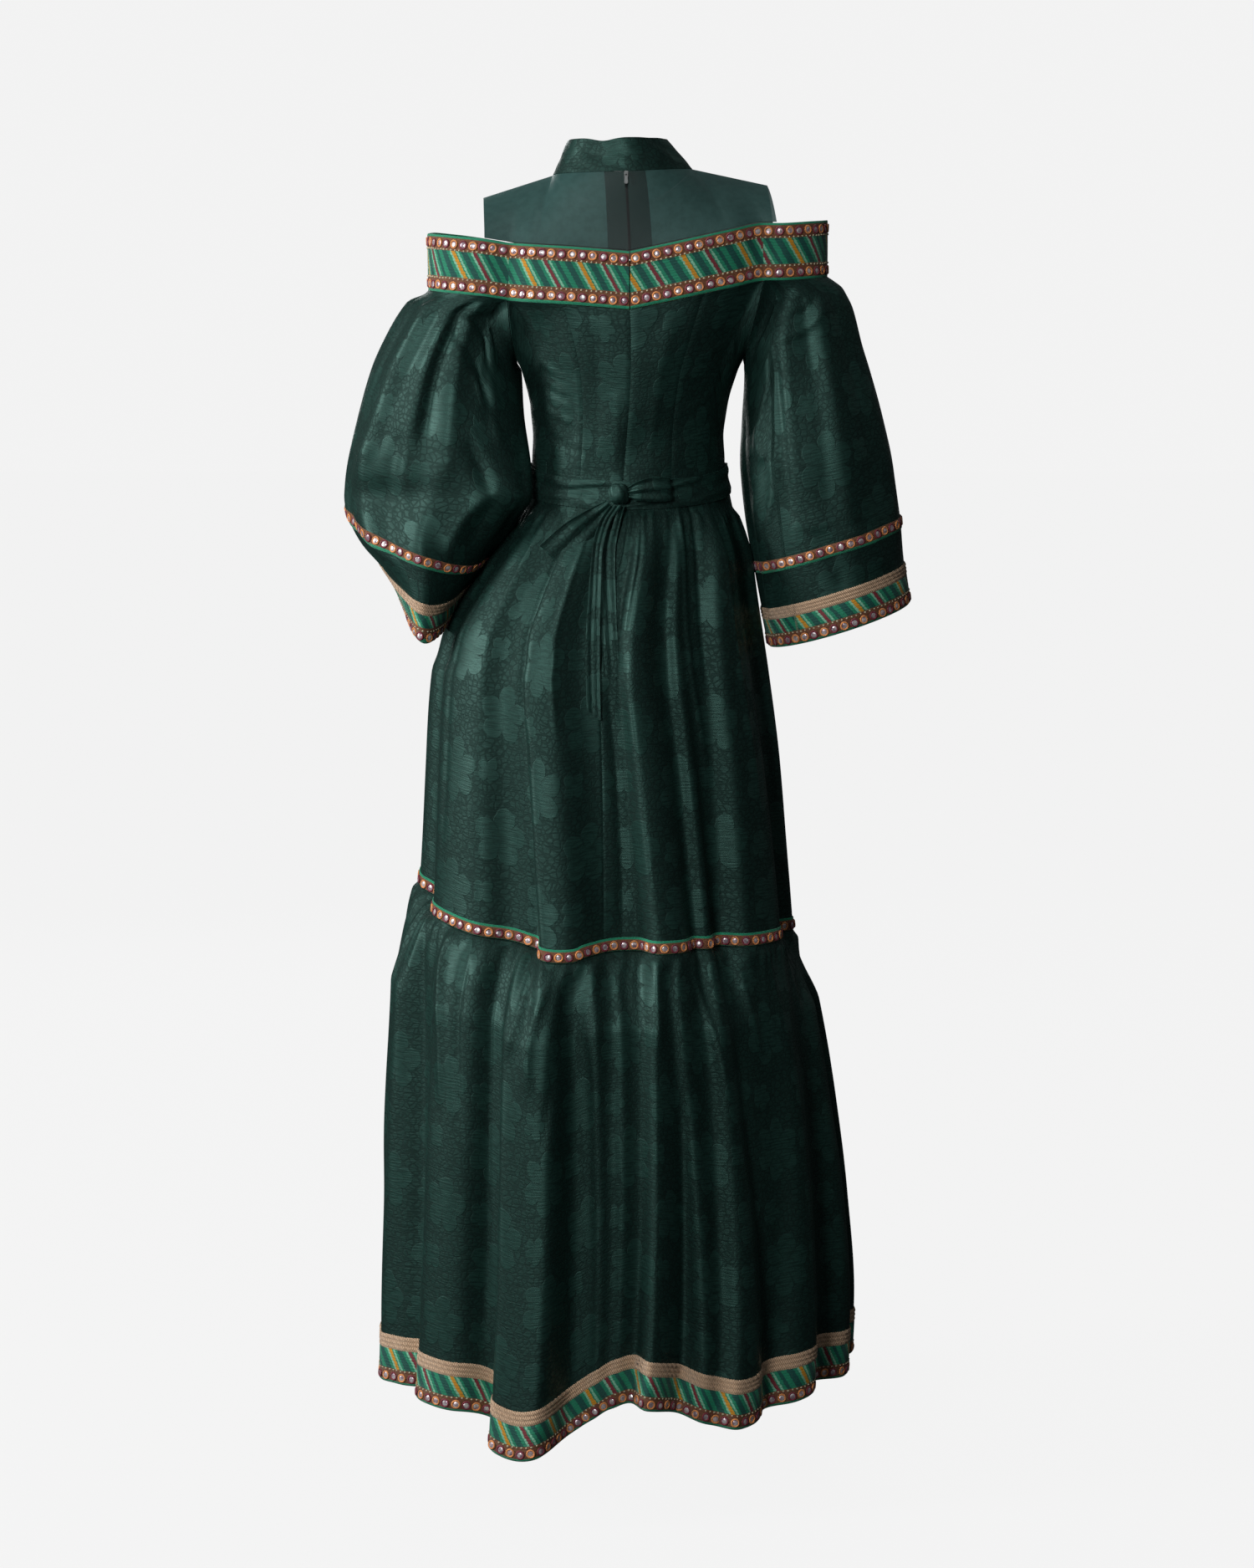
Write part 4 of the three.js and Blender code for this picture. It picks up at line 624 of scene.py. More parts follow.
# Neck, yoke and collar
def neck_point(degrees, share=0.0):
    degrees = np.asarray(degrees, float)
    p = oval(NECK_OVAL, share * COLLAR_HEIGHT + 0 * degrees, degrees)
    p[..., 2] = lerp(read(NECK, "degrees", "z", degrees), read(NECK, "degrees", "top", degrees), share)
    level = np.array([share * COLLAR_HEIGHT])
    middle = float((read(NECK_OVAL, "z", "left", level) + read(NECK_OVAL, "z", "right", level))[0]) / 2
    near = np.abs(np.where(degrees > 270, degrees - 450, degrees - 90)) / ZIP_FADES
    p[..., 0] += (zip_at(p[..., 2]) - middle) * np.maximum(0, 1 - near)
    return p


def yoke_quarter(side, end):
    """A quarter of the yoke, in rows from the neck and shoulder down to the ribbon."""
    back = end == "back"
    middle = (90 if side == "right" else 450) if back else 270
    turn = 1 if (side == "right") == back else -1
    near = np.linspace(0, FACING_DEGREES, 9)
    neck_turn = np.concatenate([near, np.linspace(FACING_DEGREES, 90, 31)[1:]])
    neck = neck_point(middle + turn * neck_turn)
    shoulder_y = SEAM / 2 if back else -SEAM / 2
    neck[-1, 1] = shoulder_y
    tip = np.array([SHOULDER_TIP[side][0], shoulder_y, SHOULDER_TIP[side][1]], float)
    out = np.linspace(0, 1, 31)[1:, None]
    top = np.concatenate([neck, neck[-1] + (tip - neck[-1]) * out])
    rows = RIBBON[side]
    first, corner = (0 if back else 1), YOKE_CORNER[side][0 if back else 1]
    inner = first + np.sign(corner - first) * FACING_SHARE
    share = np.concatenate([np.linspace(first, inner, 9), np.linspace(inner, corner, 61)[1:]])
    low = np.stack([read(rows, "share", c, share) for c in "xyz"], -1) + (0, 0, SEAM + SHEER)
    bend = lerp(top, low, np.array(YOKE_BEND))
    t = np.linspace(0, 1, 40)[:, None, None]
    return lerp(lerp(top[None], bend[None], t), lerp(bend[None], low[None], t), t)


def collar_grid():
    turn = np.linspace(90 + COLLAR_OPENING, 450 - COLLAR_OPENING, 181)
    share = np.linspace(1, 0, 22)
    grid = np.stack([neck_point(turn, s) + (0, 0, (1 - s) * SEAM) for s in share])
    # The left half at the back is pressed in a little, and its top edge dips.
    level = share[:, None]
    dent = np.exp(-(around(turn, 62) / 20) ** 2)[None] * np.exp(-((level - 0.62) / 0.4) ** 2)
    dip = np.exp(-(around(turn, 70) / 13) ** 2)[None] * step(level * 1.4 - 0.4)
    ripple = (np.exp(-(around(turn, 128) / 9) ** 2)[None] * np.sin(level * 3.1)
              - np.exp(-(around(turn, 150) / 8) ** 2)[None])
    n = normals_of(grid, False)
    rise = -5.5 * dent + 1.2 * ripple * np.sin(np.pi * np.clip(level, 0, 1))
    rise = rise + waves(15, turn[None], level, 0.35, 14, 2)
    grid = grid + n * (rise * step(level * 5))[..., None]
    grid[..., 2] -= 3.4 * dip
    return grid


# A strip is laid between two lines of a surface. A place on it is so far along, so far up and so far out.
class Strip:
    def __init__(self, foot, head, closed=False):
        if closed:
            foot, head = np.concatenate([foot, foot[:1]]), np.concatenate([head, head[:1]])
        self.foot, self.head = foot, head
        middle = (foot + head) / 2
        self.s = np.concatenate([[0], np.cumsum(np.linalg.norm(np.diff(middle, axis=0), axis=1))])
        self.length, self.height = self.s[-1], float(np.linalg.norm(head - foot, axis=1).mean())
        along = np.gradient(middle, self.s, axis=0)
        if closed:
            along[0] = along[-1] = along[0] + along[-1]
        out = np.cross(foot - head, along)
        self.out = out / np.linalg.norm(out, axis=1, keepdims=True)

    def pick(self, line, u):
        return np.stack([np.interp(u, self.s, line[:, k]) for k in range(3)], -1)

    def at(self, u, v, w):
        """Along in mm, up as a share, out in mm."""
        foot, head, out = self.pick(self.foot, u), self.pick(self.head, u), self.pick(self.out, u)
        out = out / np.linalg.norm(out, axis=-1, keepdims=True)
        return foot + (head - foot) * np.asarray(v)[..., None] + out * np.asarray(w)[..., None]

    def axes(self, u):
        out = self.pick(self.out, u)
        out /= np.linalg.norm(out, axis=-1, keepdims=True)
        up = self.pick(self.head, u) - self.pick(self.foot, u)
        up -= out * (up * out).sum(-1, keepdims=True)
        up /= np.linalg.norm(up, axis=-1, keepdims=True)
        return np.cross(up, out), up, out


# Beadwork is gathered here and becomes one mesh for each trim.
class Beads:
    def __init__(self):
        self.verts, self.uv, self.count = [], [], 0
        self.tris, self.quads, self.tri_slots, self.quad_slots = [], [], [], []

    def put(self, verts, tris, quads, slot):
        """The same little shape at many places. Verts is places x corners x 3."""
        places, corners = verts.shape[:2]
        shift = self.count + np.arange(places)[:, None, None] * corners
        self.verts.append(verts.reshape(-1, 3))
        own_place = np.random.RandomState(places).uniform(0, 1, (places, 1, 2))
        self.uv.append(np.tile(own_place, (1, corners, 1)).reshape(-1, 2))
        slots = np.broadcast_to(np.asarray(slot), (places,))
        if len(tris):
            self.tris.append((tris[None] + shift).reshape(-1, 3))
            self.tri_slots.append(np.repeat(slots, len(tris)))
        if len(quads):
            self.quads.append((quads[None] + shift).reshape(-1, 4))
            self.quad_slots.append(np.repeat(slots, len(quads)))
        self.count += places * corners

    def make(self, name, materials):
        faces, slots = [], []
        if self.tris:
            faces.append(np.concatenate(self.tris))
            slots.append(np.concatenate(self.tri_slots))
        if self.quads:
            faces.append(np.concatenate(self.quads))
            slots.append(np.concatenate(self.quad_slots))
        return new_mesh(name, np.concatenate(self.verts), faces, np.concatenate(self.uv), materials,
                        np.concatenate(slots))


def ring_shape(radius, thick, sides, round_sides):
    a = np.linspace(0, 2 * np.pi, sides, endpoint=False)[:, None]
    b = np.linspace(0, 2 * np.pi, round_sides, endpoint=False)[None, :]
    r = radius + thick * np.cos(b)
    verts = point(r * np.cos(a), r * np.sin(a), thick * 0.8 * np.sin(b) + 0 * a).reshape(-1, 3)
    i, j = np.meshgrid(np.arange(sides), np.arange(round_sides), indexing="ij")
    at = lambda p, q: (p % sides) * round_sides + q % round_sides
    return verts, np.stack([at(i, j), at(i + 1, j), at(i + 1, j + 1), at(i, j + 1)], -1).reshape(-1, 4)


def domed(verts, sides):
    """A foot ring, a head ring and a middle point, with their triangles and quads."""
    k = np.arange(sides)
    n = (k + 1) % sides
    return verts, np.stack([k + sides, n + sides, 0 * k + 2 * sides], -1), np.stack([k, n, n + sides, k + sides], -1)


def disc_shape(radius, dome, sides):
    a = np.linspace(0, 2 * np.pi, sides, endpoint=False)
    rim = point(radius * np.cos(a), radius * np.sin(a), 0 * a)
    inner = point(radius * 0.8 * np.cos(a), radius * 0.8 * np.sin(a), dome + 0 * a)
    return domed(np.concatenate([rim, inner, [[0, 0, dome * 1.15]]]), sides)


def dot_shape(radius, sides):
    a = np.linspace(0, 2 * np.pi, sides, endpoint=False)
    low = point(radius * np.cos(a), radius * np.sin(a), -0.2 + 0 * a)
    high = point(radius * 0.7 * np.cos(a + 0.4), radius * 0.7 * np.sin(a + 0.4), radius * 0.62 + 0 * a)
    return domed(np.concatenate([low, high, [[0, 0, radius * 0.9]]]), sides)


def lay(strip, shape, u, v, w, stretch, tilt=None):
    """A little shape at many places of a strip, each stretched along it, and tilted if tilt is given."""
    across, up, out = strip.axes(u)
    if tilt is not None:
        out = out + across * tilt[:, :1] + up * tilt[:, 1:]
        out /= np.linalg.norm(out, axis=-1, keepdims=True)
        up = up - out * (up * out).sum(-1, keepdims=True)
        up /= np.linalg.norm(up, axis=-1, keepdims=True)
        across = np.cross(up, out)
    along = across[:, None] * (shape[None, :, :1] * stretch[:, None, None])
    return strip.at(u, v, w)[:, None] + along + up[:, None] * shape[None, :, 1:2] + out[:, None] * shape[None, :, 2:3]


MIRROR_PITCH, RING_RADIUS, RING_THREAD, MIRROR_RADIUS, MIRROR_DOME = 11.8, 4.15, 1.15, 3.3, 0.35
DOT_PITCH, DOT_RADIUS = 5.5, 1.25
ORANGE, MAROON, MIRROR, CREAM = range(4)


def mirror_row(beads, strip, v, w, seed):
    """Round mirrors in rings of thread that change colour from one to the next."""
    rng = np.random.RandomState(seed)
    count = max(1, int(round(strip.length / MIRROR_PITCH)))
    pitch = strip.length / count
    u = (np.arange(count) + 0.5) * pitch + rng.uniform(-0.5, 0.5, count)
    places = v + rng.uniform(-0.4, 0.4, count) / strip.height
    grow = rng.uniform(0.93, 1.05, count)
    colours = np.where(np.arange(count) % 2, MAROON, ORANGE)
    shape, quads = ring_shape(RING_RADIUS, RING_THREAD, 14, 4)
    tilt = rng.uniform(-0.05, 0.05, (count, 2))
    beads.put(lay(strip, shape, u, places, w + 0.5, grow, tilt), [], quads, colours)
    shape, tris, quads = disc_shape(MIRROR_RADIUS, MIRROR_DOME, 12)
    tilt = rng.uniform(-0.16, 0.16, (count, 2))
    beads.put(lay(strip, shape, u, places, w + 0.55, grow, tilt), tris, quads, MIRROR)


def dot_row(beads, strip, v, w, seed):
    """A row of small thread dots, unevenly set."""
    rng = np.random.RandomState(seed)
    count = max(1, int(round(strip.length / DOT_PITCH)))
    u = (np.arange(count) + 0.5) * strip.length / count + rng.uniform(-0.3, 0.3, count)
    shape, tris, quads = dot_shape(DOT_RADIUS, 6)
    places = v + rng.uniform(-0.3, 0.3, count) / strip.height
    beads.put(lay(strip, shape, u, places, w + 0 * u, rng.uniform(0.9, 1.4, count)), tris, quads, CREAM)


def band(name, strip, profile, thick, materials, step_along=3.0, closed=False, lift=0.0, slope=0.0):
    """A strip's own cloth. Profile gives places from head to foot, each a share up and a height out."""
    u = np.linspace(0, strip.length, max(8, int(strip.length / step_along)) + 1)
    if closed:
        u = u[:-1]
    v, w = np.array(profile, float).T
    grid = np.stack([strip.at(u, np.full(len(u), a), b + lift + 0 * u) for a, b in zip(v, w)])
    n = normals_of(grid, closed)
    return shell(name, grid, closed, thick, materials, roll=0.0, normals=n, shift=(slope, 0.0))


BRAID_RIBS, BRAID_PITCH, BRAID_SCALLOP, BRAID_STEP = 3, 4.6, 1.1, 1.3


def braid(name, strip, thick, materials, closed):
    """Ribs of twisted cord side by side, with small scallops along both edges."""
    u = np.linspace(0, strip.length, int(strip.length / BRAID_STEP) + 1)
    if closed:
        u = u[:-1]
    count = max(1, round(strip.length / BRAID_PITCH))
    turn = 2 * np.pi * count * u / strip.length
    rows = []
    for k, a in enumerate(np.linspace(1, 0, 4 * BRAID_RIBS + 1)):
        rib = abs(math.sin(math.pi * BRAID_RIBS * a))
        wave = 0.35 * np.sin(turn * 2 + k * 1.1) * rib
        scallop = 0 * u
        if min(a, 1 - a) < 1e-6:
            scallop = BRAID_SCALLOP * np.abs(np.sin(turn)) * (1 if a > 0.5 else -1) / strip.height
        rows.append(strip.at(u, np.full(len(u), a) + scallop, thick * (0.55 + 0.6 * rib) + wave))
    return shell(name, np.stack(rows), closed, thick * 0.6, materials, roll=0.0)


# Materials
class Graph:
    def __init__(self, name):
        self.mat = bpy.data.materials.new(name)
        self.mat.use_nodes = True
        self.tree = self.mat.node_tree
        self.tree.nodes.clear()

    def node(self, kind, inputs=None, **props):
        n = self.tree.nodes.new(kind)
        for key, value in props.items():
            setattr(n, key, value)
        for key, value in (inputs or {}).items():
            if isinstance(value, bpy.types.NodeSocket):
                self.tree.links.new(value, n.inputs[key])
            else:
                n.inputs[key].default_value = value
        return n

    def math(self, op, a, b=0.0, c=0.0):
        return self.node("ShaderNodeMath", {0: a, 1: b, 2: c}, operation=op).outputs[0]

    def smooth(self, value, low, high):
        inputs = {0: value, 1: low, 2: high, 3: 0.0, 4: 1.0}
        return self.node("ShaderNodeMapRange", inputs, interpolation_type="SMOOTHSTEP").outputs[0]

    def wave(self, value, times):
        """The size of a sine of value times a number."""
        return self.math("ABSOLUTE", self.math("SINE", self.math("MULTIPLY", value, times)))

    def within(self, value, low, high, soft):
        """1 between low and high, with soft edges."""
        return self.math("MULTIPLY", self.smooth(value, low - soft, low + soft),
                         self.smooth(value, high + soft, high - soft))

    def mix(self, factor, a, b):
        n = self.node("ShaderNodeMix", data_type="RGBA")
        for socket, value in ((n.inputs[0], factor), (n.inputs[6], a), (n.inputs[7], b)):
            if isinstance(value, bpy.types.NodeSocket):
                self.tree.links.new(value, socket)
            else:
                socket.default_value = value if isinstance(value, float) else (*value, 1.0)
        return n.outputs[2]

    def cloth(self):
        place = self.node("ShaderNodeUVMap", uv_map="cloth").outputs[0]
        split = self.node("ShaderNodeSeparateXYZ", {0: place})
        return place, split.outputs[0], split.outputs[1]

    def noise(self, place, scale, detail=2.0, rough=0.5):
        inputs = {"Vector": place, "Scale": scale, "Detail": detail, "Roughness": rough}
        return self.node("ShaderNodeTexNoise", inputs).outputs[0]

    def bump(self, height, distance, strength=1.0, normal=None):
        inputs = {"Height": height, "Distance": distance, "Strength": strength}
        if normal is not None:
            inputs["Normal"] = normal
        return self.node("ShaderNodeBump", inputs).outputs[0]

    def finish(self, **sockets):
        shader = self.node("ShaderNodeBsdfPrincipled", {k.replace("_", " "): v for k, v in sockets.items()})
        out = self.node("ShaderNodeOutputMaterial")
        self.tree.links.new(shader.outputs[0], out.inputs[0])
        return self.mat


# Colours of the satin's ground, its cracks, the flowers, their veins and the deepest threads
SATIN_GROUND, SATIN_CRACK, SATIN_FLOWER = (0.0070, 0.0235, 0.0193), (0.0014, 0.0048, 0.0042), (0.0122, 0.0395, 0.0322)
SATIN_VEIN, SATIN_DEEP = (0.0030, 0.0100, 0.0084), (0.0040, 0.0130, 0.0108)
# Flowers repeat across and down the cloth: shift across and down, size, petals, turn
FLOWER_ACROSS, FLOWER_DOWN, FLOWER_TALL = 0.110, 0.136, 0.78
FLOWERS = (
    (0.0, 0.0, 0.027, 6.0, 0.4), (0.056, 0.066, 0.024, 5.0, 1.2),
    (0.014, 0.072, 0.012, 5.0, 2.0), (0.070, 0.128, 0.011, 4.0, 0.0))


def satin_material():
    """Dark green jacquard satin: large flowers in columns on a crackled ground, tone on tone."""
    g = Graph("satin")
    place = g.cloth()[0]
    bend = g.node("ShaderNodeTexNoise", {"Vector": place, "Scale": 60.0, "Detail": 1.0}).outputs[1]
    moved = g.node("ShaderNodeVectorMath", {0: bend, 1: (0.5, 0.5, 0.5)}, operation="SUBTRACT").outputs[0]
    moved = g.node("ShaderNodeVectorMath", {0: moved, 3: 0.0065}, operation="SCALE").outputs[0]
    warped = g.node("ShaderNodeVectorMath", {0: place, 1: moved}, operation="ADD").outputs[0]
    split = g.node("ShaderNodeSeparateXYZ", {0: warped})
    wu, wv = split.outputs[0], split.outputs[1]
    masks = []
    lines = []
    for shift_u, shift_v, size, petals, turned in FLOWERS:
        cu = g.math("DIVIDE", g.math("ADD", wu, shift_u), FLOWER_ACROSS)
        cv = g.math("DIVIDE", g.math("ADD", wv, shift_v), FLOWER_DOWN)
        x = g.math("MULTIPLY", g.math("SUBTRACT", g.math("FRACT", cu), 0.5), FLOWER_ACROSS)
        y = g.math("MULTIPLY", g.math("SUBTRACT", g.math("FRACT", cv), 0.5), FLOWER_DOWN * FLOWER_TALL)
        r = g.math("SQRT", g.math("ADD", g.math("MULTIPLY", x, x), g.math("MULTIPLY", y, y)))
        angle = g.math("ARCTAN2", y, x)
        lobe = g.math("ABSOLUTE", g.math("SINE", g.math("MULTIPLY_ADD", angle, petals / 2, turned)))
        reach = g.math("MULTIPLY_ADD", g.math("POWER", lobe, 0.7), size * 0.46, size * 0.60)
        masks.append(g.smooth(g.math("SUBTRACT", reach, r), -0.0004, 0.0008))
        part = g.math("DIVIDE", r, reach)
        vein = g.wave(part, 9.4)
        between = g.math("MULTIPLY", g.smooth(lobe, 0.30, 0.06), g.smooth(part, 0.25, 0.5))
        lines.append(g.math("MULTIPLY", masks[-1], g.math("MAXIMUM", g.smooth(vein, 0.32, 0.0), between)))
    mask, line = masks[0], lines[0]
    for m, l in zip(masks[1:], lines[1:]):
        mask, line = g.math("MAXIMUM", mask, m), g.math("MAXIMUM", line, l)
    crackle = g.node("ShaderNodeTexVoronoi", {"Vector": warped, "Scale": 165.0}, feature="DISTANCE_TO_EDGE").outputs[0]
    ground = g.math("MULTIPLY", g.smooth(crackle, 0.20, 0.04), g.math("SUBTRACT", 1.0, mask))
    drawn_out = g.node("ShaderNodeMapping", {"Vector": place, "Scale": (70.0, 560.0, 1.0)}).outputs[0]
    weave = g.noise(drawn_out, 1.0, 3.0)
    colour = g.mix(mask, g.mix(ground, SATIN_GROUND, SATIN_CRACK), SATIN_FLOWER)
    colour = g.mix(g.math("MULTIPLY", line, 0.6), colour, SATIN_VEIN)
    colour = g.mix(g.smooth(weave, 0.38, 0.72), colour, SATIN_DEEP)
    rough = g.math("MULTIPLY_ADD", ground, 0.12, g.math("MULTIPLY_ADD", weave, 0.14, 0.47))
    rough = g.math("MULTIPLY_ADD", mask, -0.06, rough)
    height = g.math("MULTIPLY_ADD", mask, 0.25, g.math("MULTIPLY", weave, 0.9))
    height = g.math("MULTIPLY_ADD", ground, -0.22, height)
    normal = g.bump(height, 0.0005, 0.9, g.bump(g.noise(place, 22.0, 3.0), 0.003, 0.16))
    return g.finish(Base_Color=colour, Roughness=rough, Normal=normal, Specular_IOR_Level=0.6,
                    Specular_Tint=(0.46, 0.92, 0.80, 1.0), Sheen_Weight=0.04, Sheen_Roughness=0.4,
                    Sheen_Tint=(0.25, 0.75, 0.62, 1.0))


def sheer_material(name, strip=(-2.0, -1.0), zip_at_u=-2.0):
    """Sheer organza. It is darker where a facing lies behind it, between the two ends of strip, and has a painted shade
    line along its edge by the zip, standing in for the shade in the gap between the two halves.
    """
    g = Graph(name)
    place, u, v = g.cloth()
    threads = g.math("MAXIMUM", g.wave(u, 3800.0), g.wave(v, 3800.0))
    moire = g.smooth(g.noise(place, 95.0, 3.0, 0.6), 0.35, 0.65)
    colour = g.mix(threads, (0.014, 0.046, 0.042), (0.030, 0.090, 0.083))
    colour = g.mix(g.math("MULTIPLY", moire, 0.5), colour, (0.044, 0.118, 0.108))
    backed = g.within(u, *strip, 0.0003)
    colour = g.mix(g.math("MULTIPLY", backed, 0.80), colour, (0.004, 0.016, 0.014))
    # Painted shade: a thin dark line along the edge at the zip stands in for the shade in the gap between the two
    # halves of the yoke.
    by_zip = g.math("ABSOLUTE", g.math("SUBTRACT", u, zip_at_u))
    colour = g.mix(g.smooth(by_zip, 0.0019, 0.0011), colour, (0.001, 0.003, 0.003))
    return g.finish(Base_Color=colour, Roughness=0.5, Alpha=0.80, Normal=g.bump(threads, 0.0001, 0.4),
                    Sheen_Weight=0.15, Sheen_Roughness=0.4, Sheen_Tint=(0.4, 0.8, 0.75, 1.0))


MINT, MID, DEEP = (0.330, 0.800, 0.540), (0.008, 0.340, 0.180), (0.000, 0.110, 0.088)
STRIPE_ORANGE, STRIPE_MAROON = (0.950, 0.400, 0.010), (0.300, 0.024, 0.044)
# Where each colour of the stripes starts, as a share of one repeat
STRIPES = (
    (0.0, MID), (0.05, DEEP), (0.17, MID), (0.235, MINT), (0.275, STRIPE_ORANGE), (0.35, MID), (0.375, MINT),
    (0.415, MID), (0.465, DEEP), (0.58, MID), (0.645, MINT), (0.685, STRIPE_MAROON), (0.755, MID), (0.78, MINT),
    (0.82, MID), (0.88, DEEP), (0.95, MID))
STRIPE_REPEAT, STRIPE_LEAN = 0.066, 0.58


def stripe_material(name, height, panel, top_rows, foot_rows):
    """Embroidered slanting stripes between the mirror rows. Panel is the stripes' foot and head, up from the foot."""
    g = Graph(name)
    place, u, v = g.cloth()
    up = g.math("ADD", v, height)
    wobble = g.math("MULTIPLY", g.math("SUBTRACT", g.noise(place, 420.0, 1.0), 0.5), 0.0030)
    along = g.math("MULTIPLY_ADD", up, STRIPE_LEAN, u)
    place_in_repeat = g.math("FRACT", g.math("DIVIDE", g.math("ADD", along, wobble), STRIPE_REPEAT))
    ramp = g.node("ShaderNodeValToRGB", {0: place_in_repeat})
    ramp.color_ramp.interpolation = "CONSTANT"
    while len(ramp.color_ramp.elements) < len(STRIPES):
        ramp.color_ramp.elements.new(0.5)
    for element, (at, colour) in zip(ramp.color_ramp.elements, STRIPES):
        element.position = at
        element.color = (*colour, 1)
    bead = g.wave(up, 980.0)
    threads = g.wave(g.math("ADD", up, wobble), 5200.0)
    colour = g.mix(g.math("MULTIPLY", threads, 0.35), ramp.outputs[0], (0.004, 0.030, 0.020))
    colour = g.mix(g.math("MULTIPLY", g.smooth(bead, 0.35, 0.0), 0.45), colour, (0.008, 0.060, 0.038))
    inside = g.within(up, *panel, 0.0004)
    backing = g.mix(g.noise(place, 900.0, 2.0), (0.130, 0.040, 0.022), (0.30, 0.12, 0.045))
    head = height - top_rows
    edge = g.math("MAXIMUM", g.smooth(up, foot_rows + 0.0002, foot_rows - 0.0002),
                  g.smooth(up, head - 0.0002, head + 0.0002))
    backing = g.mix(edge, backing, (0.010, 0.300, 0.155))
    height_map = g.math("MULTIPLY_ADD", threads, 0.4, g.math("MULTIPLY", bead, 0.6))
    return g.finish(Base_Color=g.mix(inside, backing, colour), Roughness=0.62,
                    Normal=g.bump(height_map, 0.0006, 0.8), Sheen_Weight=0.2, Sheen_Roughness=0.4)


def thread_material(name, colour, dark, rough=0.6):
    g = Graph(name)
    place = g.node("ShaderNodeTexCoord").outputs["Object"]
    fibre = g.noise(place, 1800.0, 2.0)
    return g.finish(Base_Color=g.mix(fibre, dark, colour), Roughness=rough, Metallic=0.0,
                    Normal=g.bump(fibre, 0.0004, 0.7), Sheen_Weight=0.15)


def braid_material():
    g = Graph("braid_gold_beige")
    place, u, v = g.cloth()
    twist = g.math("SINE", g.math("MULTIPLY_ADD", v, 1400.0, g.math("MULTIPLY", u, 2700.0)))
    tone = g.mix(g.math("MULTIPLY_ADD", twist, 0.5, 0.5), (0.420, 0.250, 0.140), (0.930, 0.660, 0.440))
    tone = g.mix(g.math("MULTIPLY", g.noise(place, 160.0, 2.0), 0.4), tone, (0.70, 0.47, 0.30))
    return g.finish(Base_Color=tone, Roughness=0.55, Normal=g.bump(twist, 0.0005, 0.8), Sheen_Weight=0.2)


def mirror_material():
    g = Graph("mirror_glass")
    place = g.node("ShaderNodeTexCoord").outputs["Object"]
    spots = g.noise(place, 240.0, 2.0)
    tone = g.mix(g.smooth(spots, 0.35, 0.65), (0.42, 0.30, 0.36), (0.95, 0.88, 0.88))
    return g.finish(Base_Color=tone, Roughness=0.30, Metallic=0.45, Normal=g.bump(spots, 0.0003, 0.25))


def metal_material():
    g = Graph("zip_nickel")
    place = g.node("ShaderNodeTexCoord").outputs["Object"]
    worn = g.noise(place, 900.0, 3.0)
    tone = g.mix(worn, (0.16, 0.17, 0.17), (0.30, 0.31, 0.31))
    return g.finish(Base_Color=tone, Roughness=0.42, Metallic=0.9, Normal=g.bump(worn, 0.0001, 0.4))


satin = satin_material()
sheer = sheer_material("sheer_organza")
# Each ribbon's height, its stripes' foot and head, and the plain edges at its head and foot, in metres
stripes_wide = stripe_material("ribbon_wide", 0.064, (0.0180, 0.0470), 0.0028, 0.0030)
stripes_hem = stripe_material("ribbon_hem", 0.040, (0.0165, 0.0395), 0.0, 0.0025)
stripes_cuff = stripe_material("ribbon_cuff", 0.033, (0.0155, 0.0325), 0.0, 0.0020)
tape_cloth = stripe_material("mirror_tape", 0.015, (0.5, 0.6), 0.0030, 0.0)
tape_sleeve = stripe_material("mirror_tape_sleeve", 0.014, (0.5, 0.6), 0.0, 0.0026)
thread = [
    thread_material("thread_orange", (0.95, 0.400, 0.130), (0.75, 0.240, 0.060)),
    thread_material("thread_maroon", (0.290, 0.032, 0.056), (0.160, 0.014, 0.030)),
    mirror_material(),
    thread_material("thread_cream", (0.70, 0.64, 0.44), (0.44, 0.38, 0.23), 0.45),
]
braid_cloth = braid_material()
metal = metal_material()


# Pieces
def wear(ob, *nodes, slot="satin"):
    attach(ob, "dress")
    if nodes:
        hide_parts(*nodes)
    return ob


def piece(name, node, grid, thick, material, slot="satin", closed=False, **more):
    return wear(shell(name, grid, closed, thick, [material], **more), node, slot=slot)


# Mirror ribbons and tapes. A profile gives places from head to foot, each a share up and a height out. Rows of
# mirrors and dots have a share up, a height out and a seed.
ARCH = [(a, 0.25 * math.sin(math.pi * a)) for a in np.linspace(0.95, 0.05, 9)]
RIBBON_PROFILE = [(1, -0.6), (0.99, 0), *ARCH, (0.01, 0), (0, -0.6)]
EDGE_PROFILE = [(1, 0.3), (0.97, 1.2), (0.5, 1.4), (0.03, 1.2), (0, 0.2)]
SLEEVE_TAPE_PROFILE = [(1, 0.2), (0.95, 0.9), (0.5, 1.0), (0.05, 0.9), (0, 0.2)]
SEAM_TAPE_PROFILE = [(1, 0.2), (0.95, 1.0), (0.5, 1.1), (0.05, 1.0), (0, 0.2)]


def trim(name, strip, profile, thick, material, slot, mirrors, dots=(), **more):
    """The band itself and, as one more piece, its mirrors and dots."""
    cloth = wear(band("cloth_" + name, strip, profile, thick, [material], **more), name, slot=slot)
    beads = Beads()
    for row in mirrors:
        mirror_row(beads, strip, *row)
    for row in dots:
        dot_row(beads, strip, *row)
    return cloth, wear(beads.make("mirrors_" + name, thread), slot=slot)


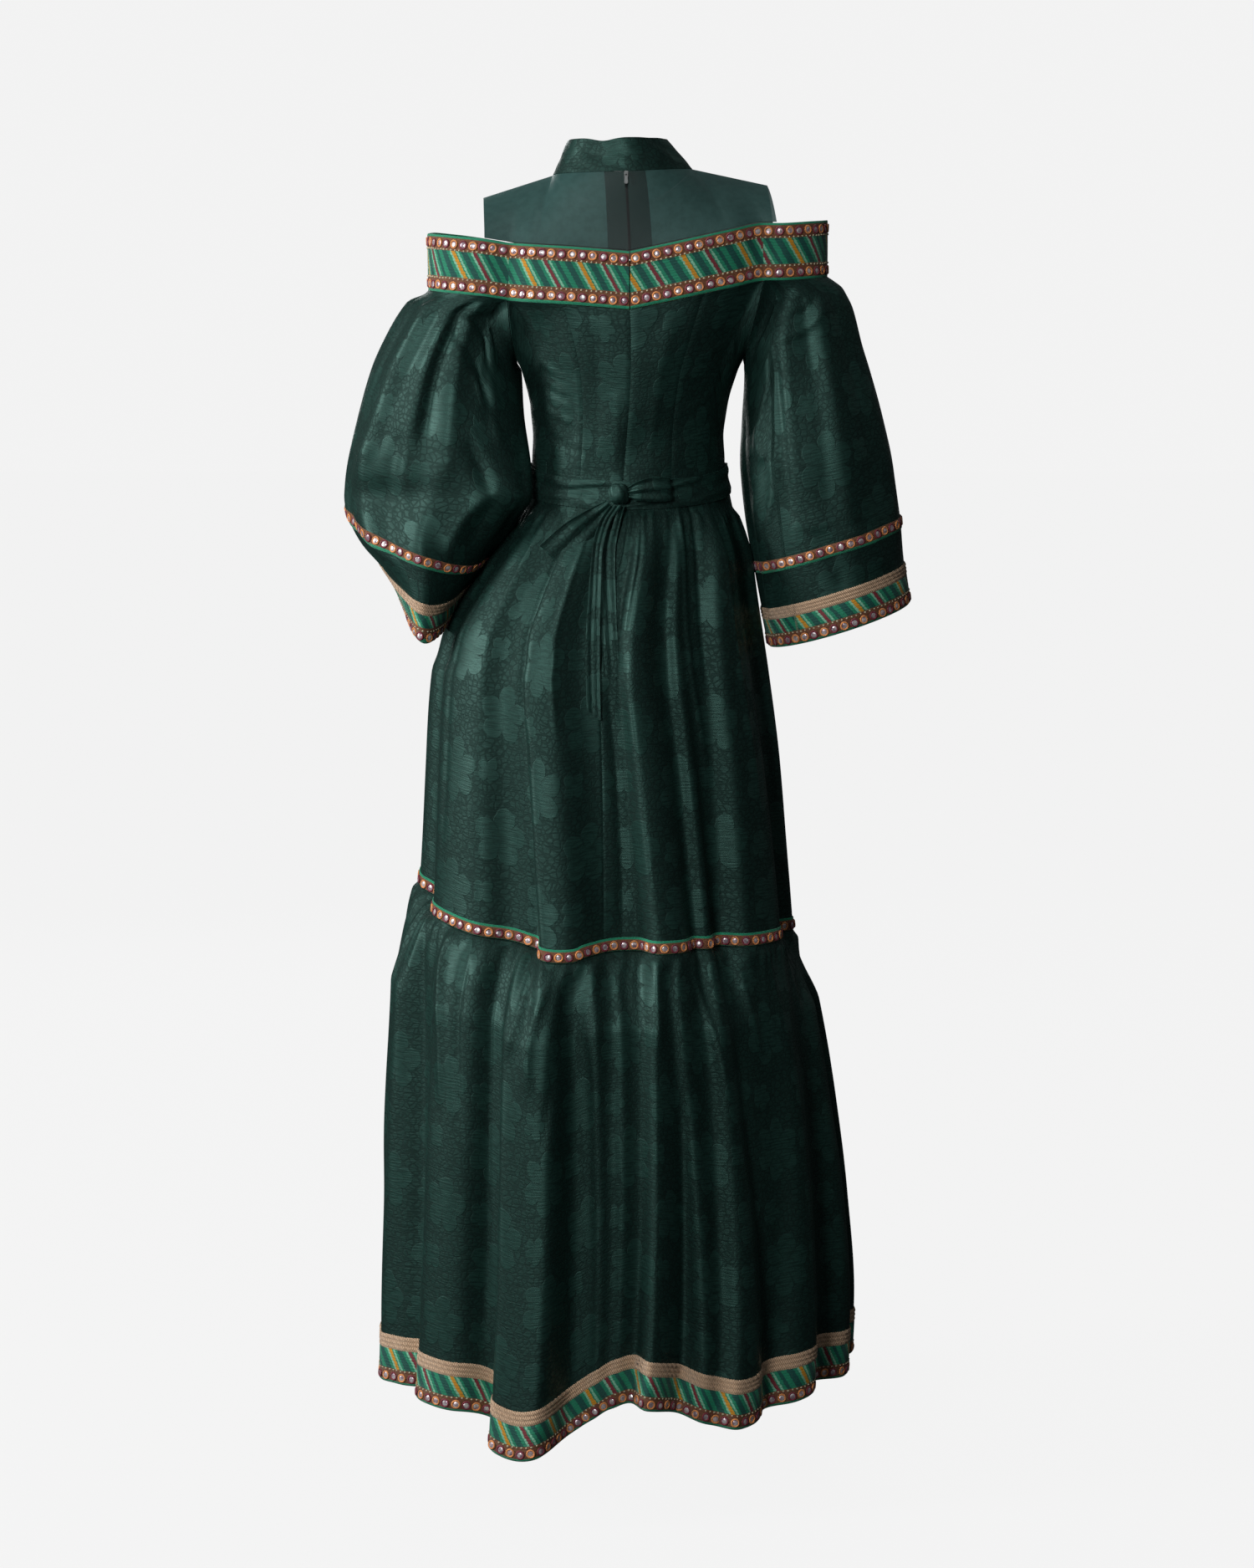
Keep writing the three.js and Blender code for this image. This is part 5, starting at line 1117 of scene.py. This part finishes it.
def ribbon_piece(name, first, last, seed):
    foot, head = ring(ribbon_foot, first, last), ring(ribbon_head, first, last)
    for line in (foot, head):
        if name == "ribbon_back_right":
            line[0] = lerp(line[0], line[1], ZIP_SLIT)
        if name == "ribbon_back_left":
            line[-1] = lerp(line[-1], line[-2], ZIP_SLIT)
    mirrors = [(8.6 / RIBBON_HEIGHT, 0.1, seed + 1), (55.0 / RIBBON_HEIGHT, 0.1, seed + 2)]
    dots = [(16.6 / RIBBON_HEIGHT, 0.15, seed + 3), (48.2 / RIBBON_HEIGHT, 0.15, seed + 4)]
    return trim(name, Strip(foot, head), RIBBON_PROFILE, RIBBON_THICK - 0.4, stripes_wide, "mirror_ribbon",
                mirrors, dots, step_along=2.5, slope=float(first) * 0.01)


ribbons = {}
for k, (name, first, last) in enumerate((
        ("ribbon_back_right", MARK[0], MARK[1]), ("ribbon_sleeve_right", MARK[1], MARK[2]),
        ("ribbon_front", MARK[2], MARK[4]), ("ribbon_sleeve_left", MARK[4], MARK[5]),
        ("ribbon_back_left", MARK[5], MARK[6]))):
    ribbons[name] = ribbon_piece(name, first, last, 100 + 10 * k)

# Bodice
grid = bodice_grid()
shell_normals = normals_of(grid, True)
side, total, dart = BACK_N + HOLE_N // 2, grid.shape[1], BACK_N // 2
bodice = {}
for name, first, last in (
        ("bodice_back_right", 0, dart), ("bodice_side_right", dart, side), ("bodice_front", side, total - side),
        ("bodice_side_left", total - side, total - dart), ("bodice_back_left", total - dart, total)):
    at = np.arange(first, last + 1) % total
    bodice[name] = piece("cloth_" + name, name, grid[:, at], SATIN, satin, normals=shell_normals[:, at], roll=0.7,
                         shift=(0.01 * first, 0.02))

# Yoke, facings and collar
quarter = {(s, e): yoke_quarter(s, e) for s in ("left", "right") for e in ("back", "front")}
back_right, back_left = quarter["right", "back"], quarter["left", "back"][:, ::-1]
front = np.concatenate([quarter["right", "front"][:, ::-1], quarter["left", "front"][:, 1:]], 1)
yoke = {}
for name, g in (("yoke_back_right", back_right), ("yoke_back_left", back_left), ("yoke_front", front)):
    yoke[name] = piece("cloth_" + name, name, g, YOKE_THICK, sheer, slot="sheer", roll=0.0)
    if name != "yoke_front":
        width = FLAT["cloth_" + name][0]
        if name.endswith("right"):
            strip, zip_at_u = (-0.01, ZIP_FACING), 0.0
        else:
            strip, zip_at_u = (width - ZIP_FACING, width + 0.01), width
        yoke[name].data.materials[0] = sheer_material("sheer_" + name, strip, zip_at_u)
for name, g in (("zip_facing_right", back_right[:, :9]), ("zip_facing_left", back_left[:, -9:])):
    n = normals_of(g, False)
    piece("cloth_" + name, name, g - n * FACING_BEHIND, FACING_THICK, satin, roll=0.0)
collar = piece("cloth_collar", "collar", collar_grid(), TWO_LAYERS, satin, roll=0.0, shift=(0.03, 0.01))

# Sleeves, skirt and flounce with their trims
EDGES = {
    "sleeve": dict(
        tape="sleeve_tape_", tape_cloth=tape_sleeve, profile=SLEEVE_TAPE_PROFILE,
        tape_row=(8.0 / (SLEEVE_TAPE[1] - SLEEVE_TAPE[0]), 1.0, 300), edge="cuff", cord_thick=1.5, cloth=stripes_cuff,
        row=(6.6 / CUFF_RIBBON, 1.35, 320), dots=(14.0 / CUFF_RIBBON, 1.4, 330), closed=True, lift=0.2),
    "flounce": dict(
        tape="seam_tape_", tape_cloth=tape_cloth, profile=SEAM_TAPE_PROFILE,
        tape_row=(6.0 / SEAM_TAPE, 1.35, 400), edge="hem", cord_thick=1.6, cloth=stripes_hem,
        row=(7.6 / HEM_RIBBON, 1.4, 420), dots=(15.2 / HEM_RIBBON, 1.5, 430), closed=False, lift=0.3),
}


def trim_edge(cloth, where, end, tape, cord, ribbon):
    """A sleeve or a half of the flounce with its tape, braid and ribbon, laid on three strips of it."""
    e = EDGES[where]
    shape = {"closed": e["closed"], "lift": e["lift"]}
    tapes = trim(e["tape"] + end, tape, e["profile"], 0.8, e["tape_cloth"], "mirror_tape", [e["tape_row"]], **shape)
    name = e["edge"] + "_braid_" + end
    cords = wear(braid("cloth_" + name, cord, e["cord_thick"], [braid_cloth], e["closed"]), name, slot="braid")
    bands = trim(e["edge"] + "_ribbon_" + end, ribbon, EDGE_PROFILE, 1.0, e["cloth"], "mirror_ribbon", [e["row"]],
                 [e["dots"]], **shape)
    return cloth, tapes, cords, bands


for side_name in ("right", "left"):
    grid = sleeve_grid(side_name)
    cloth = piece("cloth_sleeve_" + side_name, "sleeve_" + side_name, grid, SATIN, satin, closed=True)
    tape, cord, cuff = (
        Strip(sleeve_line(grid, foot), sleeve_line(grid, head), closed=True)
        for foot, head in (SLEEVE_TAPE, (CUFF_RIBBON, CUFF_RIBBON + CUFF_BRAID), (0.5, CUFF_RIBBON)))
    trim_edge(cloth, "sleeve", side_name, tape, cord, cuff)

skirt, flounce = {}, {}
for name, first, last, columns in (
        ("skirt_back_right", 90, 180, 150), ("skirt_front", 180, 360, 200), ("skirt_back_left", 360, 450, 150)):
    skirt[name] = piece("cloth_" + name, name, skirt_grid(first, last, columns, 84), SATIN, satin,
                        shift=(0.002 * first, 0.0))
for end, first, last, columns, rows in (("back", 0, 180, 400, 92), ("front", 180, 360, 256, 76)):
    cloth = piece("cloth_flounce_" + end, "flounce_" + end, flounce_grid(first, last, columns, rows), SATIN, satin,
                  shift=(0.003 * first, 0.04))
    turn = np.linspace(first, last, 420)
    seam, hem = seam_at(turn) + SEAM, hem_at(turn)
    tape = Strip(skirt_point(turn, seam + 0.3), skirt_point(turn, seam + SEAM_TAPE))
    low, middle, high = (flounce_at(turn, hem + r) for r in (0.5, HEM_RIBBON, HEM_RIBBON + HEM_BRAID))
    flounce[end] = trim_edge(cloth, "flounce", end, tape, Strip(middle, high), Strip(low, middle))

# Sash and bow
turn = np.linspace(0, 360, 361)[:-1]
share = np.linspace(0, 1, 16)[:, None]
z = lerp(SASH_TOP, SASH_FOOT, share) + waist_lift(turn)[None]
grid = oval(BODICE, z, turn[None] + 0 * share)
out = normals_of(grid, True)
behind = np.exp(-(around(turn, 88) / 42) ** 2)[None]
place = share * 9.5 + 0.8 * np.sin(np.radians(turn * 3))[None] + waves(41, turn[None], share, 1.2, 9, 1)
rise = (0.8 + 0.9 * behind) * np.sin(place) * step(share * 7) * step((1 - share) * 7)
grid = grid + out * (SASH_LIFT + TWO_LAYERS + np.maximum(rise, -1.1))[..., None]
sash = piece("cloth_sash", "sash", grid, TWO_LAYERS, satin, closed=True)


def back_at(x, z):
    """How far back the sash or the skirt reaches at a place seen from behind."""
    on_sash = z > SASH_FOOT - SASH_LIFT
    rows = BODICE if on_sash else SKIRT
    z = np.array([z])
    left, right = read(rows, "z", "left", z), read(rows, "z", "right", z)
    degrees = np.degrees(np.arccos(np.clip((2 * x - left - right) / (left - right), -1, 1)))
    if on_sash:
        return float(oval(BODICE, z, degrees)[0, 1] + SASH_LIFT + TWO_LAYERS)
    return float(skirt_point(degrees, z)[0, 1])


# Which way each piece lies across, in degrees, and its middle line: place, distance off the back and half width
BOW = {
    "bow_loop_right": (8, table(
        "x off z half", (-2.2, 8.2, -358, 6), (-14, 12, -356, 11), (-34, 12, -354, 14), (-47, 10, -354, 13),
        (-49, 7, -354, 12), (-46, 4.5, -354, 12), (-32, 3.5, -354, 13), (-16, 4, -356, 10), (-3, 6, -358, 6))),
    "bow_loop_left": (44, table(
        "x off z half", (19, 10, -371, 7), (32, 11, -383, 12), (58, 11, -405, 18), (82, 9, -429, 20),
        (84, 6.5, -431, 20), (80, 4.5, -427, 19), (56, 5, -404, 16), (33, 5.5, -384, 10), (22, 5, -374, 6))),
    "bow_tail_long": (90, table(
        "x off z half", (13, 12, -372, 6), (25, 16, -390, 6), (33, 18, -420, 6), (36, 16.5, -470, 7),
        (38, 9, -530, 8), (37, 5, -602, 8))),
    "bow_tail_short": (90, table(
        "x off z half", (8, 6, -372.5, 6), (15, 3.5, -392, 8), (22, 3, -430, 9), (20, 2.6, -500, 9),
        (17, 2.6, -560, 9))),
}
for seed, (name, (across, rows)) in enumerate(BOW.items()):
    count = len(rows["x"])
    at = np.linspace(0, count - 1, 70)
    cols = {c: curve(np.arange(count), rows[c], at) for c in ("x", "off", "z", "half")}
    base = np.array([back_at(x, z) for x, z in zip(rows["x"], rows["z"])])
    depth = curve(np.arange(count), base, at)
    lean = np.array([math.sin(math.radians(across)), 0, math.cos(math.radians(across))])
    width = np.linspace(1, -1, 25)
    middle = point(cols["x"], depth + cols["off"], cols["z"])
    grid = np.stack([middle + lean * (w * cols["half"])[:, None] for w in width])
    t = at / at[-1]
    pleat = np.exp(-(t / 0.3) ** 2) + (np.exp(-((1 - t) / 0.3) ** 2) if "loop" in name else 0)
    wave = 1.3 * np.sin(width[:, None] * 7 + seed * 2 + 2 * t[None]) * (0.25 + pleat[None])
    wave = wave + 1.1 * np.cos(width[:, None] * 1.7) * (0.7 if "loop" in name else 0.9)
    if name == "bow_tail_long":
        grid[:, :, 2] += np.outer(width, np.maximum(0, t - 0.9) * 60)
    n = normals_of(grid, False)
    grid = grid + n * (TWO_LAYERS / 2 + wave[..., None] * 0.8)
    piece("cloth_" + name, name, grid, TWO_LAYERS * 0.75, satin, roll=0.0)

# Knot: a short band of the sash wrapped once round the others
a, b = np.linspace(0, 360, 73)[:-1][None], np.linspace(4, 176, 40)[:, None]
lump = 1 + 0.05 * np.sin(np.radians(a * 3 + b * 2)) * np.sin(np.radians(b)) + 0.03 * np.sin(np.radians(a * 7 - b * 3))
power = np.sin(np.radians(b)) ** 0.7
KNOT_X, KNOT_Z, KNOT_WIDE, KNOT_DEEP, KNOT_TALL = 9, -359, 12, 7.4, 11.5
knot_at = (KNOT_X, back_at(KNOT_X, KNOT_Z) + 7 + LIFT, KNOT_Z)
grid = point(KNOT_WIDE * power * np.cos(np.radians(a)) * lump, KNOT_DEEP * power * np.sin(np.radians(a)) * lump,
             KNOT_TALL * np.cos(np.radians(b)) * lump) + knot_at
piece("cloth_bow_knot", "bow_knot", grid, 1.2, satin, closed=True)

# The piece that each ribbon, bodice piece and skirt piece hangs from, looked up and not kept
def above(name, kind):
    """The name of the front or back piece of a kind that a piece hangs from."""
    return kind + ("_front" if "front" in name else "_back_" + name.split("_")[-1])


for name, (cloth, work) in ribbons.items():
    yoke[above(name, "yoke")]
for name, ob in bodice.items():
    ribbons[above(name, "ribbon")][0]


for name, ob in skirt.items():
    bodice[above(name, "bodice")]

# Zip metal
for name in ("zip_slider", "zip_pull"):
    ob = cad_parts[name]
    ob.data.materials.clear()
    ob.data.materials.append(metal)

# Floor, light and camera
FLOOR = -1.500
FLOOR_GLOW, WALL_GLOW, SKY_GLOW = 0.885, 0.892, 0.08
# Place and aim in metres, size in metres, power in watts
LIGHTS = (
    ("key", (2.9, 0.85, 0.5), (0, 0, -0.6), (0.7, 1.9), 70),
    ("fill", (1.2, 3.4, 0.4), (0, 0, -0.75), (0.8, 1.2), 46),
    ("front", (1.0, -3.4, 0.4), (0, 0, -0.6), (0.9, 1.8), 26),
    ("top", (0.6, 0.9, 2.4), (0, 0, 0), (1.4, 1.4), 11),
)
CAMERA_AT, CAMERA_LOOKS_DOWN, CAMERA_LENS = (0, 4.0, -0.182), 7.36, 79.85

bpy.ops.mesh.primitive_plane_add(size=60, location=(0, 0, FLOOR))
floor = bpy.context.object
floor.name = "floor"
g = Graph("pale_floor")
place = g.node("ShaderNodeTexCoord").outputs["Object"]
seen_by_camera = g.node("ShaderNodeLightPath").outputs["Is Camera Ray"]
floor.data.materials.append(g.finish(
    Base_Color=g.mix(g.noise(place, 0.6), (0.025, 0.025, 0.025), (0.03, 0.03, 0.03)), Roughness=0.9,
    Specular_IOR_Level=0.0, Emission_Color=(1.0, 1.0, 1.0, 1.0),
    Emission_Strength=g.math("MULTIPLY", seen_by_camera, FLOOR_GLOW)))

scene = bpy.context.scene
world = bpy.data.worlds.new("studio")
scene.world = world
world.use_nodes = True
# The studio's bright wall is seen behind the dress, and its soft light on the dress is dimmer than the lamps'.
sky = world.node_tree
seen = sky.nodes["Background"]
seen.inputs[0].default_value, seen.inputs[1].default_value = (1, 1, 1, 1), WALL_GLOW
dim = sky.nodes.new("ShaderNodeBackground")
dim.inputs[0].default_value, dim.inputs[1].default_value = (0.96, 0.98, 1.0, 1), SKY_GLOW
choice = sky.nodes.new("ShaderNodeMixShader")
sky.links.new(sky.nodes.new("ShaderNodeLightPath").outputs["Is Camera Ray"], choice.inputs[0])
sky.links.new(dim.outputs[0], choice.inputs[1])
sky.links.new(seen.outputs[0], choice.inputs[2])
sky.links.new(choice.outputs[0], sky.nodes["World Output"].inputs[0])

for name, at, aim, size, power in LIGHTS:
    data = bpy.data.lights.new(name, "AREA")
    data.shape = "RECTANGLE"
    data.size, data.size_y = size
    data.energy = power
    light = bpy.data.objects.new(name, data)
    light.location = at
    light.rotation_euler = (Vector(aim) - Vector(at)).to_track_quat("-Z", "Y").to_euler()
    scene.collection.objects.link(light)

camera_data = bpy.data.cameras.new("camera")
camera_data.sensor_width = 36
camera_data.lens = CAMERA_LENS
camera_data.clip_end = 60
camera = bpy.data.objects.new("camera", camera_data)
camera.location = CAMERA_AT
camera.rotation_euler = (math.radians(90 - CAMERA_LOOKS_DOWN), 0, math.radians(180))
scene.collection.objects.link(camera)
scene.camera = camera
scene.view_settings.view_transform = "Standard"
